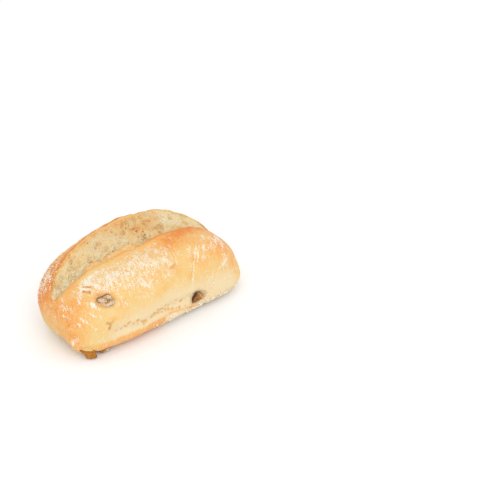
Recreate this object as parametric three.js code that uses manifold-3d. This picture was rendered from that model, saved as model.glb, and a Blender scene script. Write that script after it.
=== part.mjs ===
// An olive ciabatta roll: a small oblong wheat roll, baked with one long slash in its top that has torn open,
// and with pieces of green olive baked into its crust.
//
// The roll's length runs along X and its flat base lies on z = 0. Its lower side, below the slash's thick
// browned edge, faces -Y, and the higher side faces +Y. All sizes are in millimetres.

import * as THREE from "three";
import { mergeVertices } from "three/addons/utils/BufferGeometryUtils.js";
import Module from "manifold-3d";

const wasm = await Module();
wasm.setup();

// Driving dimensions of the loaf.
const LENGTH = 115.3;
const WIDTH = 59.9;
const CROWN_HEIGHT = 44.6; // smooth top, before the slash opened
const WAIST_HEIGHT = 16.8; // height at which the loaf is widest
const HALF_LENGTH = LENGTH / 2;
const HALF_WIDTH = WIDTH / 2;

// How square each outline is: 2 is an ellipse, and more is squarer. Pairs are the left and the right end.
const PLAN_LENGTHWISE = [2.4, 2.86];
const PLAN_CROSSWISE = [3.64, 3.04];
const CROWN_FALL = [2.09, 1.32];
const BASE_RISE = [5.6, 5.6];
const SIDE_SQUARENESS = 2.79;
const SHOULDER_SQUARENESS = 2.48;
const BASE_SQUARENESS = 5;
const BASE_CUT = 0.6; // the base is pressed flat this far up

// How the proved dough sagged: its top leans to the back, and its middle bows out.
const LEAN_BACK = 3.8;
const BOW = 1.9;
const SHEAR = -0.004;

// How far the low ends were pulled: inwards or outwards along X, out to the front, and down. x, y and z say
// where each pull starts along that axis and where it is full.
const LEFT_UNDERCUT = { inwards: 2.6, x: [-34, -57], y: [-18, -4], z: [23.4, 4] };
const LEFT_CORNER = { outwards: 1.6, front: 1.5, down: 2.5, x: [-30, -48], y: [-8, -18], z: [15, 2] };
const RIGHT_SPREAD = { outwards: 1.3, x: [28, 55], y: [32, 31], z: [22, 10] };
const RIGHT_CORNER = { outwards: 0.8, front: 4.6, x: [24, 46], y: [-4, -20], z: [19, 5] };

// The slash, seen from above, is a long leaf from one end to the other.
const SLASH_MIDDLE_X = 0.3;
const SLASH_HALF_LENGTH = 55.3;
const SLASH_MIDDLE_Y = 1.3;
const SLASH_TO_FRONT = 8.7;
const SLASH_TO_BACK = 12.3;
const SLASH_LIMIT = 0.8; // its edges stay within this share of the half width
const SLASH_FULLNESS = 0.7;
const SLASH_SEAM = 0.06; // half of the seam left past its tips, as a share of the width
const SLASH_CLOSING = 0.9; // how fast its depth fades towards the tips
const FRONT_EDGE_DROP = 3.4;
const FRONT_EDGE_SAG = { depth: 0.8, x: -17, half: 24 }; // it drops this much more round there
const BACK_EDGE_LIFT = 2.3;
const BACK_EDGE_TILT = 0.35; // the back edge lifts more towards the right by this share
const EDGE_REACH = 22; // the crust drops or lifts over this distance from an edge
const EDGE_WELT = { height: 0.7, reach: 3.5 };

// The crumb that shows in the slash.
const CRUMB = {
  depth: 6.5, // below a straight line between the edges
  frontWall: 0.06, // share of the way across in which it drops under the front edge
  backWall: 0.04,
  backRim: 0.9, // how far the back edge stands above the crumb beside it
  swell: 1.3, // how it swells back up towards the back edge
  crowding: 1.35, // crowds the mesh towards the front edge
  overhang: 0.9, // how far it reaches under the front edge
  overhangAt: 0.1,
  overhangWidth: 0.14,
};

// The ledge of torn crumb that stands level with the front lip, right behind it.
const LEDGE = {
  left: [-41, -32], // from nothing to full, along X
  right: [7, -4],
  inner: [0.42, 0.3], // share of the way across at which it breaks off
};

// The burst bubbles of the crumb: each takes golden-ratio steps along X, across the slash and in size.
const BUBBLES = {
  count: 30,
  x: { from: -50, to: 48, start: 0.5, step: 0.7548777 },
  across: { from: 0.12, to: 0.95, start: 0.5, step: 0.5698403 },
  radius: { from: 2.6, to: 5.6, start: 0.3, step: 0.618034 },
  depth: 0.3, // as a share of the radius
  stretch: 1.35, // along X
};

// The torn band low on the front, the browned strip below it, and the crease near the right end.
const TEAR = {
  left: [-40, -33], // from nothing to full
  right: [23, 15],
  height: 12.6,
  sway: { height: 1.1, length: 48.3, phase: 1 },
  half: 2.9,
  depth: 1.3,
};
const STRIP = { height: 5, half: 3.6, swell: 0.15 };
const CREASE = { x: 14.7, z: 21.8, slant: 0.58, half: 1.6, depth: 0.9, bottom: [18, 24], top: [43, 32] };
const FRONT_FACE = [-6, -16]; // these three are full in front of the second value of Y

// Soft hollows of the crust. side is -1 on the front and 1 on the back.
const HOLLOWS = [
  { x: 21, z: 21.5, rx: 6, rz: 7, depth: 1.3, side: -1 }, // beside the crease
  { x: 18.7, z: 11.3, rx: 4.6, rz: 3.4, depth: 2.6, side: -1 }, // round the low olive piece
  { x: -36, z: 31, rx: 6.5, rz: 5.5, depth: 0.7, side: -1 }, // round the olive piece on the front
  { x: -26, z: 24, rx: 9, rz: 7, depth: 0.6, side: 1 },
  { x: 30, z: 20, rx: 8, rz: 8, depth: 0.7, side: 1 },
];
const HOLLOW_FADE = [0, 10]; // how far to its own side a hollow starts and is full

// Gentle waves of the crust, the slash edges and the crumb: height, lengths along X, Y and Z, and phase.
const CRUST_WAVES = [
  [0.3, 57, 70, 48, 0.4],
  [0.22, 27, 33, -31, 1.1],
];
const EDGE_WAVES = [
  [0.25, 20.3, 90, 60, 1.3],
  [0.2, 7.6, 90, 60, 0.2],
];
const CRUMB_WAVES = [
  [0.35, 15.7, 13, 40, 0],
  [0.25, 9.2, -11, 40, 2],
];
const CRUST_WAVES_RISE = [0, 6]; // the base stays flat, and the crust's waves are full at the second height
const OUT_SQUARENESS = 5; // the relief points along X only close to the ends

// The olive pieces. at is where the middle of each lies and out is the way out of the crust there. size is
// its length, breadth and thickness, and spin turns it about out, in degrees. taper narrows its left end by
// that share, corners is above 1 for a cornered outline, and cut is the share of its thickness at which the
// knife cut its outer face flat.
const ROUNDED = { taper: 0.1, corners: 1.15, cut: 1 };
const OLIVES = {
  olive_front: {
    at: [-36.1, -18.9, 30.1],
    out: [-0.2, -0.84, 0.54],
    size: [9.6, 6.2, 4.6],
    spin: -24,
    taper: 0.4,
  },
  olive_low_right: { at: [18.4, -24.7, 9.6], out: [0, -1, 0.05], size: [8.6, 5.6, 4], spin: 8, corners: 1.3 },
  olive_corner: {
    at: [-49, -19.8, 3.9],
    out: [-0.5, -0.8, 0.1],
    size: [11, 6.4, 3.8],
    spin: -24,
    corners: 1.5,
    cut: 0.5,
  },
  olive_corner_small: { at: [-39.8, -20.4, 1.8], out: [-0.05, -1, 0.1], size: [6, 3, 3], spin: 6 },
  olive_back_left: { at: [-27, 29.4, 25], out: [-0.05, 0.95, 0.3], size: [9.4, 6.8, 5], spin: 28 },
  olive_back_right: { at: [24.1, 30.1, 12.5], out: [0.1, 1, -0.05], size: [8.6, 6, 4.6], spin: -20 },
  olive_back_rim: { at: [36.3, 25.2, 31.4], out: [0.25, 0.85, 0.45], size: [7.4, 5.4, 4.4], spin: 12 },
  olive_right_end: { at: [57.2, -4, 17], out: [1, -0.05, 0.1], size: [8.2, 6, 4.4], spin: 35 },
};
const OLIVE_SKIN = { innerShare: 0.65, bulge: 0.8, ridges: 0.07, nicks: 0.04, saddle: 0.1 };
const GAP = 0.3; // left round each olive piece, so that the solids stay apart

// How far the mesh divides the loaf and an olive piece.
const STATIONS = 66;
const STATION_EASE = 0.12;
const STATION_POWER = 1.35;
const FRONT_COLUMNS = 22;
const CRUMB_COLUMNS = 15;
const BACK_COLUMNS = 19;
const GIRTH_STEPS = 1440;
const TIP_BULGE = 0.15;
const OLIVE_AROUND = 14;
const OLIVE_DOWN = 8;

// The small helpers that the forms below share.
const clamp = (v, lo, hi) => Math.min(hi, Math.max(lo, v));
const mix = (a, b, t) => a + (b - a) * t;
const signedPower = (v, e) => Math.sign(v) * Math.abs(v) ** e;
const fraction = (v) => v - Math.floor(v);
const bell = (...q) => Math.exp(-q.reduce((sum, v) => sum + v * v, 0));

// 0 below lo, 1 above hi and smooth between; it runs the other way where lo is above hi.
function ramp(lo, hi, v) {
  const t = clamp((v - lo) / (hi - lo), 0, 1);
  return t * t * (3 - 2 * t);
}

// The sum of a list of waves at a place.
function waves(list, x, y, z) {
  return list.reduce((sum, [height, lx, ly, lz, phase]) => {
    return sum + height * Math.sin(2 * Math.PI * (x / lx + y / ly + z / lz) + phase);
  }, 0);
}

// One cross-section's place and how far it has filled out, at the angle s from the left tip to the right.
function station(s) {
  const w = (1 - Math.cos(s)) / 2;
  const sine = Math.abs(Math.sin(s));
  const grown = ([left, right]) => sine ** (2 / mix(left, right, w));
  const x = -HALF_LENGTH * signedPower(Math.cos(s), 2 / mix(...PLAN_LENGTHWISE, w));
  const q = clamp((x - SLASH_MIDDLE_X) / SLASH_HALF_LENGTH, -1, 1);
  return {
    x,
    wide: grown(PLAN_CROSSWISE),
    tall: grown(CROWN_FALL),
    deep: grown(BASE_RISE),
    open: (1 - q * q) ** SLASH_FULLNESS,
  };
}

// The smooth loaf's skin at the angle psi, which runs from the base's middle up the front and down the back.
function skin(st, psi) {
  const c = Math.cos(psi);
  const y = -HALF_WIDTH * st.wide * signedPower(Math.sin(psi), 2 / SIDE_SQUARENESS);
  const up = (CROWN_HEIGHT - WAIST_HEIGHT) * st.tall * Math.abs(c) ** (2 / SHOULDER_SQUARENESS);
  const down = (WAIST_HEIGHT + BASE_CUT) * st.deep * Math.abs(c) ** (2 / BASE_SQUARENESS);
  return { y, z: WAIST_HEIGHT + (c < 0 ? up : -down) };
}

// Even steps round the middle section, as a table from the share of the girth to the angle psi.
const girth = (() => {
  const middle = { x: 0, wide: 1, tall: 1, deep: 1, open: 1 };
  const psi = [0];
  const along = [0];
  let last = skin(middle, 0);
  for (let i = 1; i <= GIRTH_STEPS; i++) {
    psi.push((i / GIRTH_STEPS) * 2 * Math.PI);
    const p = skin(middle, psi[i]);
    along.push(along[i - 1] + Math.hypot(p.y - last.y, p.z - last.z));
    last = p;
  }
  const length = along[GIRTH_STEPS];
  return { psi, share: along.map((v) => v / length), length };
})();

// Straight-line reading of one list of the table against another.
function lookUp(from, to, v) {
  let lo = 0;
  let hi = from.length - 1;
  while (hi - lo > 1) {
    const half = (lo + hi) >> 1;
    if (from[half] > v) hi = half;
    else lo = half;
  }
  return mix(to[lo], to[hi], (v - from[lo]) / (from[hi] - from[lo]));
}

// The share of the girth at which a slash edge lies: side is -1 for the front edge and 1 for the back one.
function edgeShare(st, side) {
  const reach = side < 0 ? SLASH_TO_FRONT : SLASH_TO_BACK;
  const y = SLASH_MIDDLE_Y * Math.sqrt(st.open) + side * reach * st.open;
  const across = clamp(y / (HALF_WIDTH * st.wide), -SLASH_LIMIT, SLASH_LIMIT);
  const seam = side * SLASH_SEAM * (1 - st.open);
  const psi = Math.PI - Math.asin(signedPower(-across - seam, SIDE_SQUARENESS / 2));
  return lookUp(girth.psi, girth.share, psi);
}

// The skin near a slash edge: it drops or lifts towards the edge, and the last few millimetres swell.
function crust(st, share, edge, side) {
  const p = skin(st, lookUp(girth.share, girth.psi, share));
  const fromEdge = Math.abs(share - edge) * girth.length;
  const lift = BACK_EDGE_LIFT * (1 + (BACK_EDGE_TILT * st.x) / HALF_LENGTH);
  const drop = FRONT_EDGE_DROP + FRONT_EDGE_SAG.depth * bell((st.x - FRONT_EDGE_SAG.x) / FRONT_EDGE_SAG.half);
  const rise = (side < 0 ? -drop : lift) + waves(EDGE_WAVES, st.x, p.y, p.z);
  const welt = EDGE_WELT.height * bell(fromEdge / EDGE_WELT.reach);
  return { y: p.y, z: p.z + (rise * ramp(EDGE_REACH, 0, fromEdge) + welt) * st.open };
}

// Burst bubbles of the crumb, spread evenly over the slash.
const spread = ({ from, to, start, step }, i) => mix(from, to, fraction(start + step * (i + 1)));
const bubbles = Array.from({ length: BUBBLES.count }, (_, i) => ({
  x: spread(BUBBLES.x, i),
  across: spread(BUBBLES.across, i),
  radius: spread(BUBBLES.radius, i),
}));

// How deep the burst bubbles lie at a place in the slash, which is gape wide there.
function bubbleDepth(x, across, gape) {
  let deepest = 0;
  for (const b of bubbles) {
    const q = Math.hypot((x - b.x) / BUBBLES.stretch, (across - b.across) * gape) / b.radius;
    if (q < 1) deepest = Math.max(deepest, BUBBLES.depth * b.radius * (1 - q * q));
  }
  return deepest;
}

// The crumb between the slash's edges: it drops steeply under the front edge and swells up to the back one.
function crumb(st, front, back, t) {
  const across = t ** CRUMB.crowding;
  const leftFront = 1 - Math.exp(-t / CRUMB.frontWall);
  const leftBack = 1 - Math.exp((t - 1) / CRUMB.backWall);
  const y = mix(front.y, back.y, across);
  const valley = CRUMB.depth * leftFront * (1 - across) ** CRUMB.swell + CRUMB.backRim * leftBack * t;
  const rough = bubbleDepth(st.x, across, back.y - front.y) + waves(CRUMB_WAVES, st.x, y, 0);
  const under = CRUMB.overhang * leftFront * bell((t - CRUMB.overhangAt) / CRUMB.overhangWidth);
  const ledge = ramp(...LEDGE.left, st.x) * ramp(...LEDGE.right, st.x) * ramp(...LEDGE.inner, t);
  const fall = (valley + rough * leftFront * leftBack) * (1 - ledge);
  return {
    y: y - under * st.open,
    z: mix(front.z, back.z, across) - fall * st.open ** SLASH_CLOSING,
  };
}

// Low relief of the crust, in millimetres outwards, at a place on the smooth loaf.
function relief(x, y, z) {
  const front = ramp(...FRONT_FACE, y);
  const { sway } = TEAR;
  const tearHeight = TEAR.height + sway.height * Math.sin((2 * Math.PI * x) / sway.length + sway.phase);
  const tearEnds = ramp(...TEAR.left, x) * ramp(...TEAR.right, x);
  const tear = TEAR.depth * tearEnds * bell((z - tearHeight) / TEAR.half);
  const strip = STRIP.swell * tearEnds * bell((z - STRIP.height) / STRIP.half);
  const creaseX = CREASE.x + (z - CREASE.z) * CREASE.slant;
  const creaseEnds = ramp(...CREASE.bottom, z) * ramp(...CREASE.top, z);
  const crease = CREASE.depth * creaseEnds * bell((x - creaseX) / CREASE.half);
  const hollows = HOLLOWS.reduce((sum, h) => {
    return sum + h.depth * bell((x - h.x) / h.rx, (z - h.z) / h.rz) * ramp(...HOLLOW_FADE, y * h.side);
  }, 0);
  const broad = waves(CRUST_WAVES, x, y, z) * ramp(...CRUST_WAVES_RISE, z);
  return broad + front * (strip - tear - crease) - hollows;
}

// How far a pull of the dough is felt at a place: 1 in the middle of its area and 0 outside it.
const felt = (pull, x, y, z) => ramp(...pull.x, x) * ramp(...pull.y, y) * ramp(...pull.z, z);

// Sags the finished skin.
function sag(x, y, z) {
  const h = z / CROWN_HEIGHT;
  const q = x / HALF_LENGTH;
  const sideways = y + LEAN_BACK * h * h + BOW * (1 - q * q);
  const left = felt(LEFT_CORNER, x, y, z);
  const right = felt(RIGHT_CORNER, x, y, z);
  const inwards = LEFT_UNDERCUT.inwards * felt(LEFT_UNDERCUT, x, y, z) - LEFT_CORNER.outwards * left;
  const outwards = RIGHT_SPREAD.outwards * felt(RIGHT_SPREAD, x, y, z) + RIGHT_CORNER.outwards * right;
  return new THREE.Vector3(
    x + SHEAR * sideways + inwards + outwards,
    sideways - LEFT_CORNER.front * left - RIGHT_CORNER.front * right,
    Math.max(0, z - LEFT_CORNER.down * left),
  );
}

// Adds the relief along the direction that points out of the loaf, then sags the point.
function settle(x, y, z, crusty) {
  const out = new THREE.Vector3(
    signedPower(x / HALF_LENGTH, OUT_SQUARENESS),
    y / HALF_WIDTH,
    (z - WAIST_HEIGHT) / (CROWN_HEIGHT - WAIST_HEIGHT),
  ).normalize();
  const d = relief(x, y, z) * crusty;
  return sag(x + out.x * d, y + out.y * d, z + out.z * d);
}

// One closed ring of skin points at a station.
function ring(st) {
  const frontShare = edgeShare(st, -1);
  const backShare = edgeShare(st, 1);
  const frontEdge = crust(st, frontShare, frontShare, -1);
  const backEdge = crust(st, backShare, backShare, 1);
  const points = [];
  const put = (p, crusty) => points.push(settle(st.x, p.y, p.z, crusty));
  for (let i = 0; i <= FRONT_COLUMNS; i++) {
    put(crust(st, (frontShare * i) / FRONT_COLUMNS, frontShare, -1), 1);
  }
  for (let i = 1; i < CRUMB_COLUMNS; i++) {
    const t = (1 - Math.cos((Math.PI * i) / CRUMB_COLUMNS)) / 2;
    put(crumb(st, frontEdge, backEdge, t), 1 - st.open);
  }
  for (let i = 0; i < BACK_COLUMNS; i++) {
    put(crust(st, mix(backShare, 1, i / BACK_COLUMNS), backShare, 1), 1);
  }
  return points;
}

// Joins rings of points into one closed surface, with a single point at each end.
function closedSurface(rings, first, last) {
  const n = rings[0].length;
  const positions = [first, ...rings.flat(), last].flatMap((p) => [p.x, p.y, p.z]);
  const at = (i, j) => 1 + i * n + (j % n);
  const end = 1 + rings.length * n;
  const index = [];
  for (let j = 0; j < n; j++) {
    index.push(0, at(0, j), at(0, j + 1));
    index.push(end, at(rings.length - 1, j + 1), at(rings.length - 1, j));
    for (let i = 0; i + 1 < rings.length; i++) {
      index.push(at(i, j), at(i + 1, j), at(i + 1, j + 1));
      index.push(at(i, j), at(i + 1, j + 1), at(i, j + 1));
    }
  }
  const geometry = new THREE.BufferGeometry();
  geometry.setAttribute("position", new THREE.Float32BufferAttribute(positions, 3));
  geometry.setIndex(index);
  return geometry;
}

// The angle of the station numbered i, which spaces the stations nearly evenly along the length.
function stationAngle(i) {
  const even = (Math.PI * i) / STATIONS;
  const eased = even + STATION_EASE * Math.sin(2 * even);
  return Math.acos(signedPower(Math.cos(eased), STATION_POWER));
}

// A ring's middle, moved along X to just past the ring's far side, which closes an end.
function tip(points, side) {
  const middle = points.reduce((sum, p) => sum.add(p), new THREE.Vector3()).divideScalar(points.length);
  middle.x = side * (Math.max(...points.map((p) => side * p.x)) + TIP_BULGE);
  return middle;
}

// The whole bread, without the pockets that the olive pieces lie in.
function loafGeometry() {
  const rings = [];
  for (let i = 1; i < STATIONS; i++) rings.push(ring(station(stationAngle(i))));
  return closedSurface(rings, tip(rings[0], -1), tip(rings[rings.length - 1], 1));
}

// A chopped piece of olive: a pointed, slightly ridged lens whose inner side the knife left flatter.
function oliveGeometry(piece, grow) {
  const { size, taper, corners, cut } = { ...ROUNDED, ...piece };
  const [length, breadth, thickness] = size;
  const rings = [];
  for (let i = 1; i < OLIVE_DOWN; i++) {
    const a = (Math.PI * i) / OLIVE_DOWN;
    const z = Math.min(cut, Math.cos(a) * (Math.cos(a) < 0 ? OLIVE_SKIN.innerShare : 1));
    const points = [];
    for (let j = 0; j < OLIVE_AROUND; j++) {
      const b = (2 * Math.PI * j) / OLIVE_AROUND;
      const ridged = 1 + OLIVE_SKIN.ridges * Math.sin(3 * b + length) + OLIVE_SKIN.nicks * Math.cos(5 * b);
      const r = Math.sin(a) ** OLIVE_SKIN.bulge * ridged;
      points.push(
        new THREE.Vector3(
          (length / 2 + grow) * r * signedPower(Math.cos(b), corners),
          (breadth / 2 + grow) * r * signedPower(Math.sin(b), corners) * (1 + taper * Math.cos(b)),
          (thickness / 2 + grow) * (z + OLIVE_SKIN.saddle * r * Math.cos(2 * b)),
        ),
      );
    }
    rings.push(points);
  }
  const top = new THREE.Vector3(0, 0, (thickness / 2 + grow) * cut);
  const bottom = new THREE.Vector3(0, 0, (-thickness / 2 - grow) * OLIVE_SKIN.innerShare);
  return closedSurface(rings, top, bottom);
}

// The turn and place of an olive piece: its length runs level before the spin.
function olivePlace({ at, out, spin }) {
  const away = new THREE.Vector3(...out).normalize();
  const level = new THREE.Vector3(0, 0, 1).cross(away).normalize();
  const uphill = away.clone().cross(level);
  return new THREE.Matrix4()
    .makeBasis(level, uphill, away)
    .multiply(new THREE.Matrix4().makeRotationZ(THREE.MathUtils.degToRad(spin)))
    .setPosition(...at);
}

// A closed geometry as a solid for joining and cutting.
function toSolid(geometry) {
  const bare = new THREE.BufferGeometry()
    .setAttribute("position", geometry.getAttribute("position").clone())
    .setIndex(geometry.index.clone());
  const merged = mergeVertices(bare);
  return new wasm.Manifold(
    new wasm.Mesh({
      numProp: 3,
      vertProperties: merged.attributes.position.array,
      triVerts: new Uint32Array(merged.index.array),
    }),
  );
}

// A solid's surface as a geometry for drawing.
function toGeometry(solid) {
  const mesh = solid.getMesh();
  const geometry = new THREE.BufferGeometry();
  geometry.setAttribute("position", new THREE.BufferAttribute(new Float32Array(mesh.vertProperties), 3));
  geometry.setIndex(new THREE.BufferAttribute(new Uint32Array(mesh.triVerts), 1));
  geometry.computeVertexNormals();
  return geometry;
}

const crustFinish = new THREE.MeshStandardMaterial({ color: 0xf2c482, roughness: 0.75, metalness: 0 });
const oliveFinish = new THREE.MeshStandardMaterial({ color: 0x8a6a2c, roughness: 0.45, metalness: 0 });

// Each olive piece is added to the roll, and its pocket is cut from the bread.
const roll = new THREE.Group();
let bread = toSolid(loafGeometry());
for (const [name, piece] of Object.entries(OLIVES)) {
  const place = olivePlace(piece);
  bread = bread.subtract(toSolid(oliveGeometry(piece, GAP).applyMatrix4(place)));
  const mesh = new THREE.Mesh(oliveGeometry(piece, 0), oliveFinish);
  mesh.name = name;
  mesh.applyMatrix4(place);
  roll.add(mesh);
}
const breadMesh = new THREE.Mesh(toGeometry(bread), crustFinish);
breadMesh.name = "bread";
roll.add(breadMesh);

// The roll stands with the middle of its box over the origin.
const box = new THREE.Box3().setFromObject(roll, true);
roll.position.set(-(box.min.x + box.max.x) / 2, -(box.min.y + box.max.y) / 2, -box.min.z);

export default roll;
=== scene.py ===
"""An olive ciabatta roll: its crust, the torn crumb in its slash, and the olive pieces baked into it.

The roll is worked out in millimetres as surfaces over two parameters: the way along its length, and the way
round its girth, which starts in the middle of the base and runs up the front and down the back.
"""

from __future__ import annotations

import logging
from collections.abc import Iterable
from dataclasses import dataclass, field
from enum import Enum
from typing import Any
import bpy
import numpy as np
from mathutils import Matrix, Vector


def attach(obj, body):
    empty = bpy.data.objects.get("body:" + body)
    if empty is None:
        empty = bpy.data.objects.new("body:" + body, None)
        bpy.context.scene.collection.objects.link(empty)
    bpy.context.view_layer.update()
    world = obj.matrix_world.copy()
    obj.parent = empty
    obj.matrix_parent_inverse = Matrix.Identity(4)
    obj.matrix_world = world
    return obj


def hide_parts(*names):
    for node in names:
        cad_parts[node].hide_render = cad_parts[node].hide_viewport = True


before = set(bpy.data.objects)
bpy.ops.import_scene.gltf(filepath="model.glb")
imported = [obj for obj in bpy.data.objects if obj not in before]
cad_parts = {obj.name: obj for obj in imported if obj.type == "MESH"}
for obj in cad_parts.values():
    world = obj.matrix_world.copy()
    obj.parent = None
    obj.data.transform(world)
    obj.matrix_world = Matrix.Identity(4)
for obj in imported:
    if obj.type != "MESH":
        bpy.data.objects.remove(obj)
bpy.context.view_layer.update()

LOG = logging.getLogger("olive_roll")

MM = 0.001
BODY = "root"
SHIFT = np.array([-0.8460037, -2.4806890, 0.0])  # brings the middle of the roll's box over the origin

Array = np.ndarray
Pair = tuple[float, float]
Triple = tuple[float, float, float]
Rows = tuple[tuple[float, ...], ...]
Colour = tuple[float, float, float, float]
Socket = bpy.types.NodeSocket


class Slot(Enum):
    """Names of the material slots."""

    CRUST = "crust"
    OLIVE = "olive"


class Side(Enum):
    """The two sides of the slash; the value is the sign of the way along Y."""

    FRONT = -1
    BACK = 1


# Small helpers that the forms share.


def ramp(low: float, high: float, value: Array) -> Array:
    """Rises smoothly from 0 at low to 1 at high, or the other way where low is above high.

    Args:
        low: where it is 0.
        high: where it is 1.
        value: the numbers to look up.

    Returns:
        3t^2 - 2t^3, with t the share of the way from low to high.
    """
    t = np.clip((value - low) / (high - low), 0.0, 1.0)
    return t * t * (3.0 - 2.0 * t)


def bell(*offsets: Array) -> Array:
    """Gives e to the minus the sum of the squared offsets: 1 in the middle, and nearly 0 past 2."""
    return np.exp(-sum(offset * offset for offset in offsets))


def mix(start: Array, end: Array, share: Array) -> Array:
    """Goes straight from start to end by that share."""
    return start + (end - start) * share


def signed_power(value: Array, exponent: Array) -> Array:
    """Raises the size of a number to a power and keeps its sign."""
    return np.sign(value) * np.abs(value) ** exponent


def waves(rows: Rows, x: Array, y: Array, z: Array) -> Array:
    """Adds up plane waves.

    Args:
        rows: for each wave its height, its lengths along X, Y and Z, and its phase.
        x, y, z: places in millimetres.

    Returns:
        The sum of height times sin(2 pi (x / length_x + y / length_y + z / length_z) + phase).
    """
    total = 0.0
    for height, along_x, along_y, along_z, phase in rows:
        total = total + height * np.sin(2 * np.pi * (x / along_x + y / along_y + z / along_z) + phase)
    return total


def blurred(values: Array, reach: tuple[int, int]) -> Array:
    """Averages each place of a grid with its neighbours, twice over.

    Args:
        values: numbers on a grid.
        reach: how many steps are taken in to each side, along the first and the second axis.

    Returns:
        The means. Past the grid's rims their own values go on.
    """
    for axis, side in enumerate(reach):
        count = values.shape[axis]
        around = [(side + 1, side) if i == axis else (0, 0) for i in range(2)]
        for _ in range(2):
            total = np.cumsum(np.pad(values, around, mode="edge"), axis=axis)
            upper = np.take(total, np.arange(2 * side + 1, 2 * side + 1 + count), axis=axis)
            values = (upper - np.take(total, np.arange(count), axis=axis)) / (2 * side + 1)
    return values


class DoughNoise:
    """Smooth random fields, each fixed by its seed."""

    TABLE = 256  # entries in each table, a power of two
    SPREAD = 1.6  # brings the greatest values near 1

    def __init__(self, seed: int) -> None:
        """Draws a shuffled order, a table of random slopes and a table of random places in a cell.

        Args:
            seed: the number that fixes the draw.
        """
        rng = np.random.default_rng(seed)
        self.order = rng.permutation(self.TABLE)
        slopes = rng.normal(size=(self.TABLE, 3))
        self.slopes = slopes / np.linalg.norm(slopes, axis=1, keepdims=True)
        self.jitter = rng.random((self.TABLE, 3))

    def _key(self, corner: Array) -> Array:
        """Gives each lattice corner an entry of the tables.

        Args:
            corner: whole numbers, with X, Y and Z last.

        Returns:
            The entry's number, found by going through the shuffled order once for each axis.
        """
        last = self.TABLE - 1
        first = self.order[corner[..., 0] & last]
        second = self.order[(first + corner[..., 1]) & last]
        return self.order[(second + corner[..., 2]) & last]

    def smooth(self, points: Array, size: float) -> Array:
        """Reads gradient noise.

        Args:
            points: places in millimetres, with X, Y and Z last.
            size: the lattice's cell, in millimetres, which is about the length of a wave.

        Returns:
            Numbers from about -1 to 1: at each corner of a lattice a slope is drawn, and the eight slopes
            round a place are blended by 6t^5 - 15t^4 + 10t^3.
        """
        scaled = points / size
        corner = np.floor(scaled).astype(np.int64)
        inside = scaled - corner
        blend = inside**3 * (inside * (inside * 6.0 - 15.0) + 10.0)
        total = np.zeros(points.shape[:-1])
        for step in np.ndindex(2, 2, 2):
            offset = np.array(step)
            slope = self.slopes[self._key(corner + offset)]
            weight = np.prod(np.where(offset == 1, blend, 1.0 - blend), axis=-1)
            total += weight * np.sum(slope * (inside - offset), axis=-1)
        return total * self.SPREAD

    def rough(self, points: Array, size: float, octaves: int) -> Array:
        """Adds up gradient noise, each time half as long and half as high.

        Args:
            points: places in millimetres, with X, Y and Z last.
            size: the longest wave, in millimetres.
            octaves: how many are added.

        Returns:
            Numbers from about -1 to 1.
        """
        total = np.zeros(points.shape[:-1])
        height = 1.0
        for _ in range(octaves):
            total += height * self.smooth(points, size)
            size *= 0.5
            height *= 0.5
        return total / (2.0 - 2.0 * height)

    def cells(self, points: Array, size: float) -> Array:
        """Reads the distance to the nearest of a cloud of scattered points.

        Args:
            points: places in millimetres, with X, Y and Z last.
            size: about how far apart the scattered points are, in millimetres.

        Returns:
            The distance as a share of size: 0 on a scattered point, about 1 far from all.
        """
        scaled = points / size
        corner = np.floor(scaled).astype(np.int64)
        nearest = np.full(points.shape[:-1], np.inf)
        for step in np.ndindex(3, 3, 3):
            cell = corner + np.array(step) - 1
            spot = cell + self.jitter[self._key(cell)]
            nearest = np.minimum(nearest, np.linalg.norm(scaled - spot, axis=-1))
        return nearest


@dataclass(frozen=True)
class Bumps:
    """An uneven relief: its height and its longest wave, in millimetres, and how many octaves it has."""

    height: float
    size: float
    octaves: int

    def on(self, points: Array, noise: DoughNoise) -> Array:
        """Gives the relief at these points, read from that noise."""
        return self.height * noise.rough(points, self.size, self.octaves)


# The forms of the dough.


@dataclass(frozen=True)
class Area:
    """A soft region of the dough: along each axis, where it starts and where it is full."""

    x: Pair
    y: Pair
    z: Pair

    def share(self, x: Array, y: Array, z: Array) -> Array:
        """Gives 1 inside the region and 0 outside it."""
        return ramp(*self.x, x) * ramp(*self.y, y) * ramp(*self.z, z)


@dataclass(frozen=True)
class Stations:
    """Cross-sections along the roll: where each lies, and its sizes as shares of the middle one's.

    wide is its width, tall its height over the waist, deep its depth under it, and gape how far the slash
    has opened there.
    """

    x: Array
    wide: Array
    tall: Array
    deep: Array
    gape: Array

    def column(self) -> Stations:
        """Gives the same stations with a second axis, for points round the girth."""
        return Stations(*(v[:, None] for v in (self.x, self.wide, self.tall, self.deep, self.gape)))


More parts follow.
